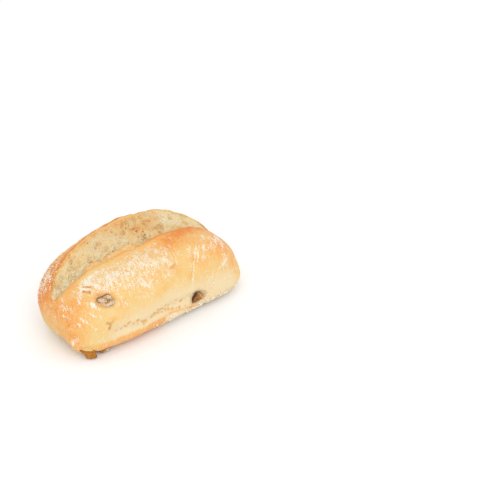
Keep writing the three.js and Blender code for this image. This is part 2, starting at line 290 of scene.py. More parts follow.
@dataclass(frozen=True)
class LoafForm:
    """The smooth proved loaf, before it was slashed. Pairs are the left and the right end."""

    length: float = 115.3
    width: float = 59.9
    crown_height: float = 44.6
    waist_height: float = 16.8
    plan_lengthwise: Pair = (2.4, 2.86)
    plan_crosswise: Pair = (3.64, 3.04)
    crown_fall: Pair = (2.09, 1.32)
    base_rise: Pair = (5.6, 5.6)
    side_squareness: float = 2.79
    shoulder_squareness: float = 2.48
    base_squareness: float = 5.0
    base_cut: float = 0.6
    lean_back: float = 3.8
    bow: float = 1.9
    shear: float = -0.004
    # How far the low ends were pulled, in millimetres: along X, out to the front and down, and in which area.
    left_undercut: float = 2.6
    left_undercut_in: Area = Area((-34, -57), (-18, -4), (23.4, 4))
    left_corner: Triple = (1.6, 1.5, 2.5)
    left_corner_in: Area = Area((-30, -48), (-8, -18), (15, 2))
    right_spread: float = 1.3
    right_spread_in: Area = Area((28, 55), (32, 31), (22, 10))
    right_corner: Pair = (0.8, 4.6)
    right_corner_in: Area = Area((24, 46), (-4, -20), (19, 5))
    station_ease: float = 0.12
    station_power: float = 1.35
    girth_steps: int = 1440

    @property
    def half_length(self) -> float:
        """Gives half the length."""
        return self.length / 2

    @property
    def half_width(self) -> float:
        """Gives half the width."""
        return self.width / 2

    def station_angles(self, count: int) -> Array:
        """Spaces stations nearly evenly along the length.

        Args:
            count: how many steps there are from tip to tip.

        Returns:
            The angles from 0 at the left tip to pi at the right, without the tips themselves: an even step is
            eased by a sine and its cosine is raised to a power.
        """
        even = np.pi * np.arange(1, count) / count
        eased = even + self.station_ease * np.sin(2 * even)
        return np.arccos(signed_power(np.cos(eased), self.station_power))

    def stations(self, angles: Array, slash: SlashForm) -> Stations:
        """Gives the cross-sections at these angles.

        Args:
            angles: from 0 at the left tip to pi at the right one.
            slash: how long and how full the slash is.

        Returns:
            The stations. X is a power of the cosine, and each share is a power of the sine, so that the
            outlines are superellipses whose exponents change from the left end to the right.
        """
        way = (1 - np.cos(angles)) / 2
        sine = np.abs(np.sin(angles))
        exponents = (self.plan_crosswise, self.crown_fall, self.base_rise)
        grown = [sine ** (2 / mix(*pair, way)) for pair in exponents]
        x = -self.half_length * signed_power(np.cos(angles), 2 / mix(*self.plan_lengthwise, way))
        return Stations(x, *grown, slash.gape(x))

    def skin(self, st: Stations, psi: Array) -> tuple[Array, Array]:
        """Gives the smooth skin at an angle round the girth.

        Args:
            st: the stations.
            psi: 0 in the middle of the base, pi on the crown, by way of the front.

        Returns:
            Y and Z. Y is a power of the sine of psi. Z leaves the waist by a power of its cosine, upwards to
            the crown and downwards to the base.
        """
        cosine = np.cos(psi)
        size = np.abs(cosine)
        y = -self.half_width * st.wide * signed_power(np.sin(psi), 2 / self.side_squareness)
        up = (self.crown_height - self.waist_height) * st.tall * size ** (2 / self.shoulder_squareness)
        down = (self.waist_height + self.base_cut) * st.deep * size ** (2 / self.base_squareness)
        return y, self.waist_height + np.where(cosine < 0, up, -down)

    def girth(self) -> tuple[Array, Array, float]:
        """Measures the middle cross-section.

        Returns:
            A table of angles round the girth, the share of the way round at each, and the whole length round.
        """
        psi = np.linspace(0, 2 * np.pi, self.girth_steps + 1)
        one = np.ones(1)
        y, z = self.skin(Stations(one * 0, one, one, one, one), psi)
        along = np.concatenate([[0.0], np.cumsum(np.hypot(np.diff(y), np.diff(z)))])
        return psi, along / along[-1], float(along[-1])

    def outward(self, x: Array, y: Array, z: Array) -> Array:
        """Gives the way out of the loaf.

        Args:
            x, y, z: places on the smooth loaf, in millimetres.

        Returns:
            Unit vectors, with X, Y and Z last. They turn lengthwise only near the ends, by a high power.
        """
        lengthwise = signed_power(x / self.half_length, 5)
        upright = (z - self.waist_height) / (self.crown_height - self.waist_height)
        out = np.stack([lengthwise, y / self.half_width, upright], axis=-1)
        return out / np.linalg.norm(out, axis=-1, keepdims=True)

    def sag(self, x: Array, y: Array, z: Array) -> Array:
        """Sags the dough: the top leans back, the middle bows, and the low ends are pulled in or out.

        Args:
            x, y, z: places on the smooth loaf, in millimetres.

        Returns:
            The points after it, in the roll's final frame, with X, Y and Z last.
        """
        lean = self.lean_back * (z / self.crown_height) ** 2
        sideways = y + lean + self.bow * (1 - (x / self.half_length) ** 2)
        undercut = self.left_undercut * self.left_undercut_in.share(x, y, z)
        spread = self.right_spread * self.right_spread_in.share(x, y, z)
        left = self.left_corner_in.share(x, y, z)
        right = self.right_corner_in.share(x, y, z)
        along_left, out_left, down_left = self.left_corner
        along_right, out_right = self.right_corner
        sagged = np.stack(
            [
                x + self.shear * sideways + undercut + spread - along_left * left + along_right * right,
                sideways - out_left * left - out_right * right,
                np.maximum(0.0, z - down_left * left),
            ],
            axis=-1,
        )
        return sagged + SHIFT


@dataclass(frozen=True)
class SlashForm:
    """The slash, a long leaf seen from above, and how the crust and the crumb lie beside and in it."""

    middle_x: float = 0.3
    half_length: float = 55.3
    middle_y: float = 1.3
    lip_growth: float = 2.2
    side_limit: float = 0.8
    to_front: float = 8.7
    to_back: float = 12.3
    fullness: float = 0.7
    seam: float = 0.06
    closing: float = 0.9
    front_drop: float = 3.4
    # How much deeper the front lip sags, its middle along X and half its length.
    front_sag: Triple = (0.8, -17.0, 24.0)
    back_lift: float = 2.3
    back_tilt: float = 0.35
    reach: float = 22.0
    welt: Pair = (0.7, 3.5)
    edge_waves: Rows = ((0.25, 20.3, 90, 60, 1.3), (0.2, 7.6, 90, 60, 0.2))
    crumb_depth: float = 6.5
    front_wall: float = 0.06
    back_wall: float = 0.04
    back_rim: float = 0.5
    swell: float = 1.3
    crowding: float = 1.35
    overhang: float = 0.9
    overhang_at: float = 0.1
    overhang_width: float = 0.14
    # The ledge of torn crumb behind the front lip: its two ends along X and where it breaks off, across.
    ledge_left: Pair = (-41.0, -32.0)
    ledge_right: Pair = (7.0, -4.0)
    ledge_inner: Pair = (0.42, 0.3)
    crumb_waves: Rows = ((0.35, 15.7, 13, 40, 0), (0.25, 9.2, -11, 40, 2))

    def gape(self, x: Array) -> Array:
        """Gives how far the slash has opened, 1 in the middle and 0 at its tips."""
        q = np.clip((x - self.middle_x) / self.half_length, -1, 1)
        return (1 - q * q) ** self.fullness

    def lip_size(self, st: Stations) -> Array:
        """Gives the size of the lips, and of what lies under them: 1, and less near the slash's tips."""
        return np.minimum(1.0, st.gape * self.lip_growth)

    def edge_share(self, loaf: LoafForm, st: Stations, side: Side) -> Array:
        """Finds where a slash edge lies.

        Args:
            loaf: the loaf that is slashed.
            st: the stations.
            side: which edge.

        Returns:
            The share of the girth at the edge for each station. The edge's Y is read back through the skin's
            power of a sine to its angle.
        """
        reach = self.to_front if side is Side.FRONT else self.to_back
        y = self.middle_y * np.sqrt(st.gape) + side.value * reach * st.gape
        across = np.clip(y / (loaf.half_width * st.wide), -self.side_limit, self.side_limit)
        across = across + side.value * self.seam * (1 - st.gape)
        psi = np.pi - np.arcsin(signed_power(-across, loaf.side_squareness / 2))
        table, share, _ = loaf.girth()
        return np.interp(psi, table, share)

    def crust(
        self, loaf: LoafForm, st: Stations, share: Array, edge: Array, side: Side
    ) -> tuple[Array, Array, Array]:
        """Gives the skin beside the slash, which drops or lifts towards the edge and swells in its last part.

        Args:
            loaf: the loaf that is slashed.
            st: the stations, with a second axis.
            share: shares of the girth, stations by columns.
            edge: the edge's share at each station, with a second axis.
            side: which side of the slash this is.

        Returns:
            Y, Z, and the distance from the edge round the girth, in millimetres.
        """
        table, shares, girth = loaf.girth()
        y, z = loaf.skin(st, np.interp(share, shares, table))
        from_edge = np.abs(share - edge) * girth
        lift = self.back_lift * (1 + self.back_tilt * st.x / loaf.half_length)
        depth, middle, half = self.front_sag
        drop = self.front_drop + depth * bell((st.x - middle) / half)
        rise = (-drop if side is Side.FRONT else lift) + waves(self.edge_waves, st.x, y, z)
        height, width = self.welt
        lifted = rise * ramp(self.reach, 0, from_edge) + height * bell(from_edge / width)
        return y, z + lifted * st.gape, from_edge

    def ledge(self, x: Array, t: Array) -> Array:
        """Gives 1 on the ledge of torn crumb that stands level with the front lip, and 0 off it."""
        return ramp(*self.ledge_left, x) * ramp(*self.ledge_right, x) * ramp(*self.ledge_inner, t)

    def valley(
        self, st: Stations, front: tuple[Array, Array], back: tuple[Array, Array], t: Array
    ) -> tuple[Array, Array]:
        """Gives the crumb's broad form between the two edges.

        Args:
            st: the stations, with a second axis.
            front: Y and Z of the front edge.
            back: Y and Z of the back edge.
            t: the way across, 0 at the front edge and 1 at the back one.

        Returns:
            Y and Z. It falls below the straight line between the edges by an exponential step under the
            front edge or, where there is a ledge, behind it, and swells back up by a power of what is left of
            the way.
        """
        across = t**self.crowding
        left_front = 1 - np.exp(-t / self.front_wall)
        left_back = 1 - np.exp((t - 1) / self.back_wall)
        y = mix(front[0], back[0], across)
        deep = self.crumb_depth * left_front * (1 - across) ** self.swell + self.back_rim * left_back * t
        wave = waves(self.crumb_waves, st.x, y, np.zeros_like(y)) * left_front * left_back
        under = self.overhang * left_front * bell((t - self.overhang_at) / self.overhang_width)
        fall = (deep + wave) * (1 - self.ledge(st.x, t))
        return y - under * st.gape, mix(front[1], back[1], across) - fall * st.gape**self.closing


@dataclass(frozen=True)
class Hollow:
    """A soft hollow of the crust, seen from the front or the back."""

    x: float
    z: float
    half_x: float
    half_z: float
    depth: float
    side: Side


@dataclass(frozen=True)
class CrustRelief:
    """The crust's low relief: its waves, the torn band, the strip below it, the crease and the hollows."""

    crust_waves: Rows = ((0.3, 57, 70, 48, 0.4), (0.22, 27, 33, -31, 1.1))
    tear_from: float = -40.0
    tear_to: float = 23.0
    tear_fade: Pair = (7.0, 8.0)
    tear_height: float = 12.6
    tear_half: float = 2.9
    tear_depth: float = 1.3
    # The torn band sways by a sine: how far, its turn for each millimetre, and its phase.
    tear_sway: Triple = (1.1, 0.13, 1.0)
    # The strip below it: its height, half its breadth and how far it swells.
    strip: Triple = (5.0, 3.6, 0.15)
    crease_x: float = 14.7
    crease_z: float = 21.8
    crease_slant: float = 0.58
    crease_half: float = 1.6
    crease_depth: float = 0.9
    crease_ends: Pair = (18.0, 43.0)
    crease_fade: Pair = (6.0, 11.0)
    hollows: tuple[Hollow, ...] = (
        Hollow(21, 21.5, 6, 7, 1.3, Side.FRONT),
        Hollow(18.7, 11.3, 4.6, 3.4, 2.6, Side.FRONT),
        Hollow(-36, 31, 6.5, 5.5, 0.7, Side.FRONT),
        Hollow(-26, 24, 9, 7, 0.6, Side.BACK),
        Hollow(30, 20, 8, 8, 0.7, Side.BACK),
    )

    def tear_middle(self, x: Array) -> Array:
        """Gives the height of the torn band's middle, which sways by a sine along the length."""
        sway, turn, phase = self.tear_sway
        return self.tear_height + sway * np.sin(turn * x + phase)

    def tear_ends(self, x: Array) -> Array:
        """Gives 1 along the torn band, fading to 0 at its two ends."""
        left, right = self.tear_fade
        return ramp(self.tear_from, self.tear_from + left, x) * ramp(self.tear_to, self.tear_to - right, x)

    def crease_middle(self, z: Array) -> Array:
        """Gives X of the crease at a height."""
        return self.crease_x + (z - self.crease_z) * self.crease_slant

    def height(self, x: Array, y: Array, z: Array) -> Array:
        """Gives the relief outwards, in millimetres.

        Args:
            x, y, z: places on the smooth loaf, in millimetres.

        Returns:
            The waves, plus the strip, less a bell across the torn band, the crease and each hollow.
        """
        front = ramp(-6, -16, y)
        ends = self.tear_ends(x)
        tear = self.tear_depth * ends * bell((z - self.tear_middle(x)) / self.tear_half)
        strip_z, strip_half, swell = self.strip
        strip = swell * ends * bell((z - strip_z) / strip_half)
        bottom, top = self.crease_ends
        below, above = self.crease_fade
        crease_ends = ramp(bottom, bottom + below, z) * ramp(top, top - above, z)
        crease = self.crease_depth * crease_ends * bell((x - self.crease_middle(z)) / self.crease_half)
        total = waves(self.crust_waves, x, y, z) * ramp(0, 6, z) + front * (strip - tear - crease)
        for h in self.hollows:
            facing = ramp(0, 10, y * h.side.value)
            total = total - h.depth * bell((x - h.x) / h.half_x, (z - h.z) / h.half_z) * facing
        return total


# Meshes from grids.


def put_in_scene(name: str, data: bpy.types.ID) -> bpy.types.Object:
    """Makes an object of a mesh, a light or a camera, at the origin, and puts it in the scene."""
    obj = bpy.data.objects.new(name, data)
    bpy.context.scene.collection.objects.link(obj)
    return obj


def new_mesh(name: str, points: Array, faces: list[list[int]]) -> bpy.types.Object:
    """Makes a mesh object, shaded smooth.

    Args:
        name: the piece's name.
        points: its points in millimetres.
        faces: the numbers of each face's points.

    Returns:
        The new object, at the origin.
    """
    mesh = bpy.data.meshes.new(name)
    mesh.from_pydata((points * MM).tolist(), [], faces)
    mesh.polygons.foreach_set("use_smooth", np.ones(len(mesh.polygons), bool))
    return put_in_scene(name, mesh)


@dataclass
class Surface:
    """A closed surface: rings of points one after another, with a single point at each end.

    rings is an array of rings by points by XYZ, in millimetres, and tips holds the two end points. fields
    holds numbers for each point of the rings, which materials read.
    """

    rings: Array
    tips: Array
    fields: dict[str, Array] = field(default_factory=dict)

    def normals(self) -> Array:
        """Gives the ways out of the surface.

        Returns:
            Unit vectors: the step from ring to ring crossed with the step round a ring.
        """
        along = np.gradient(self.rings, axis=0)
        around = (np.roll(self.rings, -1, axis=1) - np.roll(self.rings, 1, axis=1)) / 2
        out = np.cross(along, around)
        return out / np.maximum(np.linalg.norm(out, axis=-1, keepdims=True), 1e-9)

    def push(self, height: Array) -> None:
        """Moves each ring point out of the surface by its height, in millimetres."""
        self.rings = self.rings + self.normals() * height[..., None]

    def lengths(self, start: int) -> tuple[Array, Array]:
        """Measures the surface in millimetres.

        Args:
            start: the column at which the way round starts.

        Returns:
            The way along at each point, and the way round. The last column closes the ring.
        """
        closed = np.concatenate([self.rings, self.rings[:, :1]], axis=1)
        steps = np.linalg.norm(np.diff(closed, axis=0), axis=-1)
        along = np.concatenate([np.zeros((1, closed.shape[1])), np.cumsum(steps, axis=0)])
        steps = np.linalg.norm(np.diff(closed, axis=1), axis=-1)
        around = np.concatenate([np.zeros((closed.shape[0], 1)), np.cumsum(steps, axis=1)], axis=1)
        return along, around - around[:, start : start + 1]

    @staticmethod
    def corners(grid: Array, near: Array, far: Array) -> list[Array]:
        """Lists what stands at the corners of all faces.

        Args:
            grid: what stands at each point of the rings, with the first column once more at the end.
            near, far: what stands at the first and the last tip, for each triangle round it.

        Returns:
            Arrays of faces by corners: the quads between the rings, then the triangles round each tip.
        """
        quads = np.stack([grid[:-1, :-1], grid[1:, :-1], grid[1:, 1:], grid[:-1, 1:]], axis=2)
        quads = quads.reshape(-1, *quads.shape[2:])
        first = np.stack([near, grid[0, :-1], grid[0, 1:]], axis=1)
        return [quads, first, np.stack([far, grid[-1, 1:], grid[-1, :-1]], axis=1)]

    def to_object(self, name: str, start: int = 0) -> bpy.types.Object:
        """Makes the mesh object, with its UV map "girth" in millimetres.

        Args:
            name: the piece's name.
            start: the column at which the UV map's way round starts.

        Returns:
            The new object, at the origin, shaded smooth.
        """
        rings, columns = self.rings.shape[:2]
        number = np.arange(rings * columns).reshape(rings, columns)
        number = np.concatenate([number, number[:, :1]], axis=1)
        near, far = (np.full(columns, rings * columns + tip) for tip in range(2))
        faces = [face for part in self.corners(number, near, far) for face in part.tolist()]
        obj = new_mesh(name, np.concatenate([self.rings.reshape(-1, 3), self.tips]), faces)
        mesh = obj.data

        flat = np.stack(self.lengths(start), axis=-1)
        near, far = ((flat[ring, :-1] + flat[ring, 1:]) / 2 for ring in (0, -1))
        uv = np.concatenate([part.reshape(-1, 2) for part in self.corners(flat, near, far)])
        mesh.uv_layers.new(name="girth").data.foreach_set("uv", uv.ravel().astype(np.float32))
        for key, values in self.fields.items():
            ends = [values[0].mean(), values[-1].mean()]
            data = np.concatenate([values.ravel(), ends]).astype(np.float32)
            mesh.attributes.new(key, "FLOAT", "POINT").data.foreach_set("value", data)
        mesh.update()
        return obj


def ring_tips(rings: Array, bulge: float) -> Array:
    """Closes both ends of a row of rings along X.

    Args:
        rings: rings by points by XYZ.
        bulge: how far past the ring the tip lies, in millimetres.

    Returns:
        The middle of the first and the last ring, moved out along X to just past the ring's far side.
    """
    tips = np.stack([rings[0].mean(axis=0), rings[-1].mean(axis=0)])
    tips[0, 0] = rings[0, :, 0].min() - bulge
    tips[1, 0] = rings[-1, :, 0].max() + bulge
    return tips


def spread_columns(knots: tuple[float, ...], counts: tuple[int, ...]) -> Array:
    """Spaces columns between knots.

    Args:
        knots: shares from 0 to 1.
        counts: how many steps there are up to each knot, from 0.

    Returns:
        The share at each column, on a line through the knots.
    """
    return np.interp(np.arange(counts[-1] + 1), counts, knots)


# Finishes.


def linear(hex_colour: str) -> Colour:
    """Turns an sRGB hex colour into linear light, with full cover."""
    values = [int(hex_colour[i : i + 2], 16) / 255 for i in (1, 3, 5)]
    return (*(v / 12.92 if v <= 0.04045 else ((v + 0.055) / 1.055) ** 2.4 for v in values), 1.0)


@dataclass(frozen=True)
class Pattern:
    """A random pattern: the size of its spots in millimetres, its finer layers and its strength."""

    size: float
    layers: float
    strength: float = 1.0


@dataclass
class Nodes:
    """The nodes of a material or of the world, and the outputs of the mesh's fields that it reads."""

    tree: bpy.types.NodeTree
    read: dict[str, Socket] = field(default_factory=dict)

    def add(self, kind: str, links: dict, output: str | int = 0, **settings: Any) -> Socket | None:
        """Adds a node.

        Args:
            kind: the node's Blender type, without the ShaderNode that it begins with.
            links: its inputs by name or number, each a value or the output that feeds it.
            output: the name or number of the output that is wanted.
            settings: its properties by name; "stops" are the places and colours of a colour ramp.

        Returns:
            That output, or nothing where the node has none.
        """
        node = self.tree.nodes.new("ShaderNode" + kind)
        for name, value in settings.items():
            if name == "stops":
                while len(node.color_ramp.elements) < len(value):
                    node.color_ramp.elements.new(0.5)
                for element, (place, colour) in zip(node.color_ramp.elements, value):
                    element.position, element.color = place, linear(colour)
            else:
                setattr(node, name, value)
        for name, value in links.items():
            if isinstance(value, bpy.types.NodeSocket):
                self.tree.links.new(value, node.inputs[name])
            else:
                node.inputs[name].default_value = value
        return node.outputs[output] if node.outputs else None

    def scatter(self, *patterns: Pattern) -> list[Socket]:
        """Scatters random patterns through a piece.

        Args:
            patterns: what they are like.

        Returns:
            An output for each, from 0 to 1 and about 0.5 on the average, read at the place on the piece.
        """
        place = self.add("TexCoord", {}, "Object")
        forms = [{"Scale": 1 / (p.size * MM), "Detail": p.layers} for p in patterns]
        return [self.add("TexNoise", {"Vector": place, **form}) for form in forms]

    def browned(self, start: Socket, *patterns: Pattern) -> tuple[Socket, list[Socket]]:
        """Makes a level of browning uneven.

        Args:
            start: the even level.
            patterns: what makes it uneven.

        Returns:
            The start plus each pattern times its strength, less what they come to on the average, and the
            patterns' outputs.
        """
        outputs = self.scatter(*patterns)
        level = start
        for output, pattern in zip(outputs, patterns):
            level = self.add("Math", {0: output, 1: pattern.strength, 2: level}, operation="MULTIPLY_ADD")
        average = sum(pattern.strength for pattern in patterns) / 2
        return self.add("Math", {0: level, 1: average}, operation="SUBTRACT"), outputs


@dataclass(frozen=True)
class Finish:
    """What all finishes share: the material's name, and the fields of the mesh that it reads."""

    name: str
    reads: tuple[str, ...] = ()

    def inputs(self, nodes: Nodes) -> dict[str, Any]:
        """Gives the shader's inputs by name, each a value or the output that feeds it."""
        raise NotImplementedError

    def material(self) -> bpy.types.Material:
        """Makes the material.

        Returns:
            A material with one shader, whose inputs the finish works out.
        """
        material = bpy.data.materials.new(self.name)
        material.use_nodes = True
        nodes = Nodes(material.node_tree)
        nodes.tree.nodes.clear()
        nodes.read = {name: nodes.add("Attribute", {}, "Fac", attribute_name=name) for name in self.reads}
        nodes.add("OutputMaterial", {"Surface": nodes.add("BsdfPrincipled", self.inputs(nodes))})
        return material


@dataclass(frozen=True)
class BakedFinish(Finish):
    """A finish of something baked, which light enters, and whose finest relief is a bump.

    glow is how much light spreads inside, the shares of red, green and blue, and how far, and bump is the
    relief's strength and height. bare and floured are the roughness without flour and under it, and
    flour_lies is the level from which flour lies, the one at which it covers, and its cover.
    """

    ior: float = 1.45
    glow: tuple[float, Triple, float] = (0.1, (1.0, 0.5, 0.25), 1.0)
    bump: Pair = (0.5, 0.25)
    bare: float = 0.5
    floured: float = 0.9
    flour_lies: Triple = (1.0, 1.3, 0.95)

    def body(self, nodes: Nodes, colour: Socket, coats: Iterable[tuple[Socket, str]], relief: Socket) -> dict:
        """Lays coats over the colour, and adds the relief and the light that enters.

        Args:
            nodes: the material's nodes.
            colour: the lowest coat.
            coats: for each further coat its cover, from 0 to 1, and its hex colour.
            relief: the pattern that the relief follows.

        Returns:
            The shader's inputs by name. The mixing node has its colours at 6 and 7, and the mixed one at 2.
        """
        for cover, shade in coats:
            colour = nodes.add("Mix", {0: cover, 6: colour, 7: linear(shade)}, 2, data_type="RGBA")
        strength, height = self.bump
        amount, shares, reach = self.glow
        return {
            "Base Color": colour,
            "Normal": nodes.add("Bump", {"Strength": strength, "Distance": height * MM, "Height": relief}),
            "IOR": self.ior,
            "Subsurface Weight": amount,
            "Subsurface Radius": shares,
            "Subsurface Scale": reach * MM,
        }

    def dusted(
        self, nodes: Nodes, heap: Socket | float, *parts: tuple[Socket, float]
    ) -> tuple[Socket, Socket]:
        """Says where flour lies.

        Args:
            nodes: the material's nodes.
            heap: how much there is to begin with.
            parts: patterns that are added to it, with their strengths.

        Returns:
            The flour's cover, which rises smoothly with how much there is, and the roughness.
        """
        for pattern, strength in parts:
            heap = nodes.add("Math", {0: pattern, 1: strength, 2: heap}, operation="MULTIPLY_ADD")
        start, full, most = self.flour_lies
        limits = {"From Min": start, "From Max": full, "To Max": most}
        cover = nodes.add("MapRange", {"Value": heap, **limits}, interpolation_type="SMOOTHSTEP")
        return cover, nodes.add("MapRange", {"Value": cover, "To Min": self.bare, "To Max": self.floured})


@dataclass(frozen=True)
class WheatCrust(BakedFinish):
    """Wheat crust, baked from wet dough on a floured stone.

    It gives the eye a dull satin skin that runs from pale straw low on the sides to orange on the ear and the
    ends, mottled by fine blisters, with flour that lies in streaks along the way the dough was rolled.
    """

    name: str = "wheat_crust_floured"
    reads: tuple[str, ...] = ("bake", "dust", "torn", "scorch")
    pale: str = "#DFCB9D"
    straw: str = "#DDC087"
    golden: str = "#DFB771"
    orange: str = "#E1A053"
    toasted: str = "#D8812F"
    torn: str = "#DDCAA4"
    scorched: str = "#A5682F"
    flour: str = "#E4DBC9"
    bare: float = 0.52
    glow: tuple[float, Triple, float] = (0.12, (1.0, 0.5, 0.25), 2.0)
    mottle: Pattern = Pattern(7.0, 4.0, 0.55)
    blister: Pattern = Pattern(1.3, 3.0, 0.4)
    grain: Pattern = Pattern(0.7, 1.0, 0.3)
    # Flour lies where its streaks, specks and clumps and the dusting add up to enough. Its grains are far
    # finer, and the specks are as fine as the render can show.
    streak_mm: Pair = (0.7, 4.5)
    streak_layers: float = 3.0
    streak_curl: float = 0.5
    streak_strength: float = 0.7
    speck: Pattern = Pattern(0.8, 1.0, 0.6)
    clump: Pattern = Pattern(4.0, 2.0, 0.45)
    dusting: float = 0.35
    flour_lies: Triple = (1.09, 1.3, 0.95)
    flour_rise: float = 0.5

    def inputs(self, nodes: Nodes) -> dict[str, Any]:
        """Lays torn and scorched places over the browning, and flour over all.

        Args:
            nodes: the material's nodes.

        Returns:
            The shader's inputs.
        """
        bake, dust, torn, scorch = nodes.read.values()
        level, (_, blister, _) = nodes.browned(bake, self.mottle, self.blister, self.grain)
        colours = (self.pale, self.straw, self.golden, self.orange, self.toasted)
        stops = list(zip((0.0, 0.27, 0.52, 0.76, 1.0), colours))
        baked = nodes.add("ValToRGB", {"Fac": level}, stops=stops)

        girth = nodes.add("UVMap", {}, uv_map="girth")
        scale = Vector((1 / self.streak_mm[0], 1 / self.streak_mm[1], 1.0))
        stretched = nodes.add("Mapping", {"Vector": girth, "Scale": scale})
        form = {"Scale": 1.0, "Detail": self.streak_layers, "Distortion": self.streak_curl}
        streak = nodes.add("TexNoise", {"Vector": stretched, **form})
        outputs = (streak, *nodes.scatter(self.speck, self.clump), dust)
        strengths = (self.streak_strength, self.speck.strength, self.clump.strength, self.dusting)
        cover, rough = self.dusted(nodes, 0.0, *zip(outputs, strengths))
        coats = ((torn, self.torn), (scorch, self.scorched), (cover, self.flour))
        relief = nodes.add("Math", {0: cover, 1: self.flour_rise, 2: blister}, operation="MULTIPLY_ADD")
        return {"Roughness": rough, **self.body(nodes, baked, coats, relief)}


@dataclass(frozen=True)
class OpenCrumb(BakedFinish):
    """Wheat crumb, torn open in the oven and dried there.

    It gives the eye a soft, slightly see-through khaki with smooth cell walls, toasted orange on its highest
    ridges and along the back rim, and browner in the pits, partly from the roast and partly as painted shade.
    """

    name: str = "wheat_crumb_torn"
    reads: tuple[str, ...] = ("toast", "pit")
    pale: str = "#DCCFAE"
    khaki: str = "#DCC491"
    warm: str = "#E1BA7C"
    orange: str = "#DDA25B"
    brown: str = "#B37436"
    # The pits' colour: partly the brown of the roast, partly painted shade in the recesses.
    pit: str = "#C07E38"
    bare: float = 0.62
    glow: tuple[float, Triple, float] = (0.3, (1.0, 0.8, 0.55), 1.6)
    mottle: Pattern = Pattern(2.6, 4.0, 0.6)
    fibre: Pattern = Pattern(0.6, 3.0, 1.1)
    bump: Pair = (0.7, 0.35)

    def inputs(self, nodes: Nodes) -> dict[str, Any]:
        """Lays the pits' brown and painted shade over the toasted crumb.

        Args:
            nodes: the material's nodes.

        Returns:
            The shader's inputs.
        """
        toast, pit = nodes.read.values()
        level, (_, fibre) = nodes.browned(toast, self.mottle, self.fibre)
        colours = (self.pale, self.khaki, self.warm, self.orange, self.brown)
        stops = list(zip((0.0, 0.25, 0.5, 0.75, 1.0), colours))
        baked = nodes.add("ValToRGB", {"Fac": level}, stops=stops)
        return {"Roughness": self.bare, **self.body(nodes, baked, [(pit, self.pit)], fibre)}


@dataclass(frozen=True)
class OliveFlesh(BakedFinish):
    """Green olive, brined, chopped with a knife and baked in the crust.

    It gives the eye firm flesh with a soft gloss, golden brown where it was cut and nearly black where its
    rim has caught, with painted shade in its creases, and with flour on the pieces that lay under the
    dusting.
    """

    name: str = "green_olive_flesh_baked"
    reads: tuple[str, ...] = ("caught", "dust", "dough")
    flesh: str = "#B57524"
    skin: str = "#7F5322"
    # The dark of the caught rim, also used for the painted shade in the creases.
    caught: str = "#4F3220"
    flour: str = "#CDBDA5"
    dough: str = "#DDBE8E"
    bare: float = 0.38
    specular: float = 0.3
    glow: tuple[float, Triple, float] = (0.1, (1.0, 0.5, 0.2), 1.0)
    mottle: Pattern = Pattern(1.6, 4.0)
    speck: Pattern = Pattern(0.8, 2.0)
    dusting: float = 0.5
    flour_lies: Triple = (0.62, 0.98, 0.92)
    bump: Pair = (0.4, 0.2)

    def inputs(self, nodes: Nodes) -> dict[str, Any]:
        """Lays the caught rim with the painted shade in the creases, flour and dough over the flesh.

        Args:
            nodes: the material's nodes.

        Returns:
            The shader's inputs.
        """
        mottle, speck = nodes.scatter(self.mottle, self.speck)
        caught, dust, dough = nodes.read.values()
        flesh = nodes.add("ValToRGB", {"Fac": mottle}, stops=[(0.3, self.skin), (0.6, self.flesh)])
        cover, rough = self.dusted(nodes, speck, (dust, self.dusting))
        coats = ((caught, self.caught), (cover, self.flour), (dough, self.dough))
        gloss = {"Roughness": rough, "Specular IOR Level": self.specular}
        return {**gloss, **self.body(nodes, flesh, coats, mottle)}


@dataclass(frozen=True)
class BenchFlour(Finish):
    """Bench flour, caked into grains with crumbs of dough by the oven.

    It gives the eye matt, creamy white grains, the larger ones tanned.
    """

    name: str = "bench_flour_caked"
    cream: str = "#F3E9D4"
    tanned: str = "#E3BF8E"
    roughness: float = 0.92
    ior: float = 1.45
    grain: Pattern = Pattern(1.5, 2.0)

    def inputs(self, nodes: Nodes) -> dict[str, Any]:
        """Spreads tanned spots over the cream.

        Args:
            nodes: the material's nodes.

        Returns:
            The shader's inputs.
        """
        (grain,) = nodes.scatter(self.grain)
        colour = nodes.add("ValToRGB", {"Fac": grain}, stops=[(0.45, self.cream), (0.65, self.tanned)])
        return {"Base Color": colour, "Roughness": self.roughness, "IOR": self.ior}


@dataclass(frozen=True)
class PaintedFloor(Finish):
    """A painted studio floor. It gives the eye an even, matt and nearly white ground."""

    name: str = "studio_floor_matt"
    colour: str = "#F6F6F6"
    roughness: float = 0.9

    def inputs(self, nodes: Nodes) -> dict[str, Any]:
        """Gives the shader's inputs, which are the same all over."""
        return {"Base Color": linear(self.colour), "Roughness": self.roughness, "Specular IOR Level": 0.0}


# The pieces of the roll.


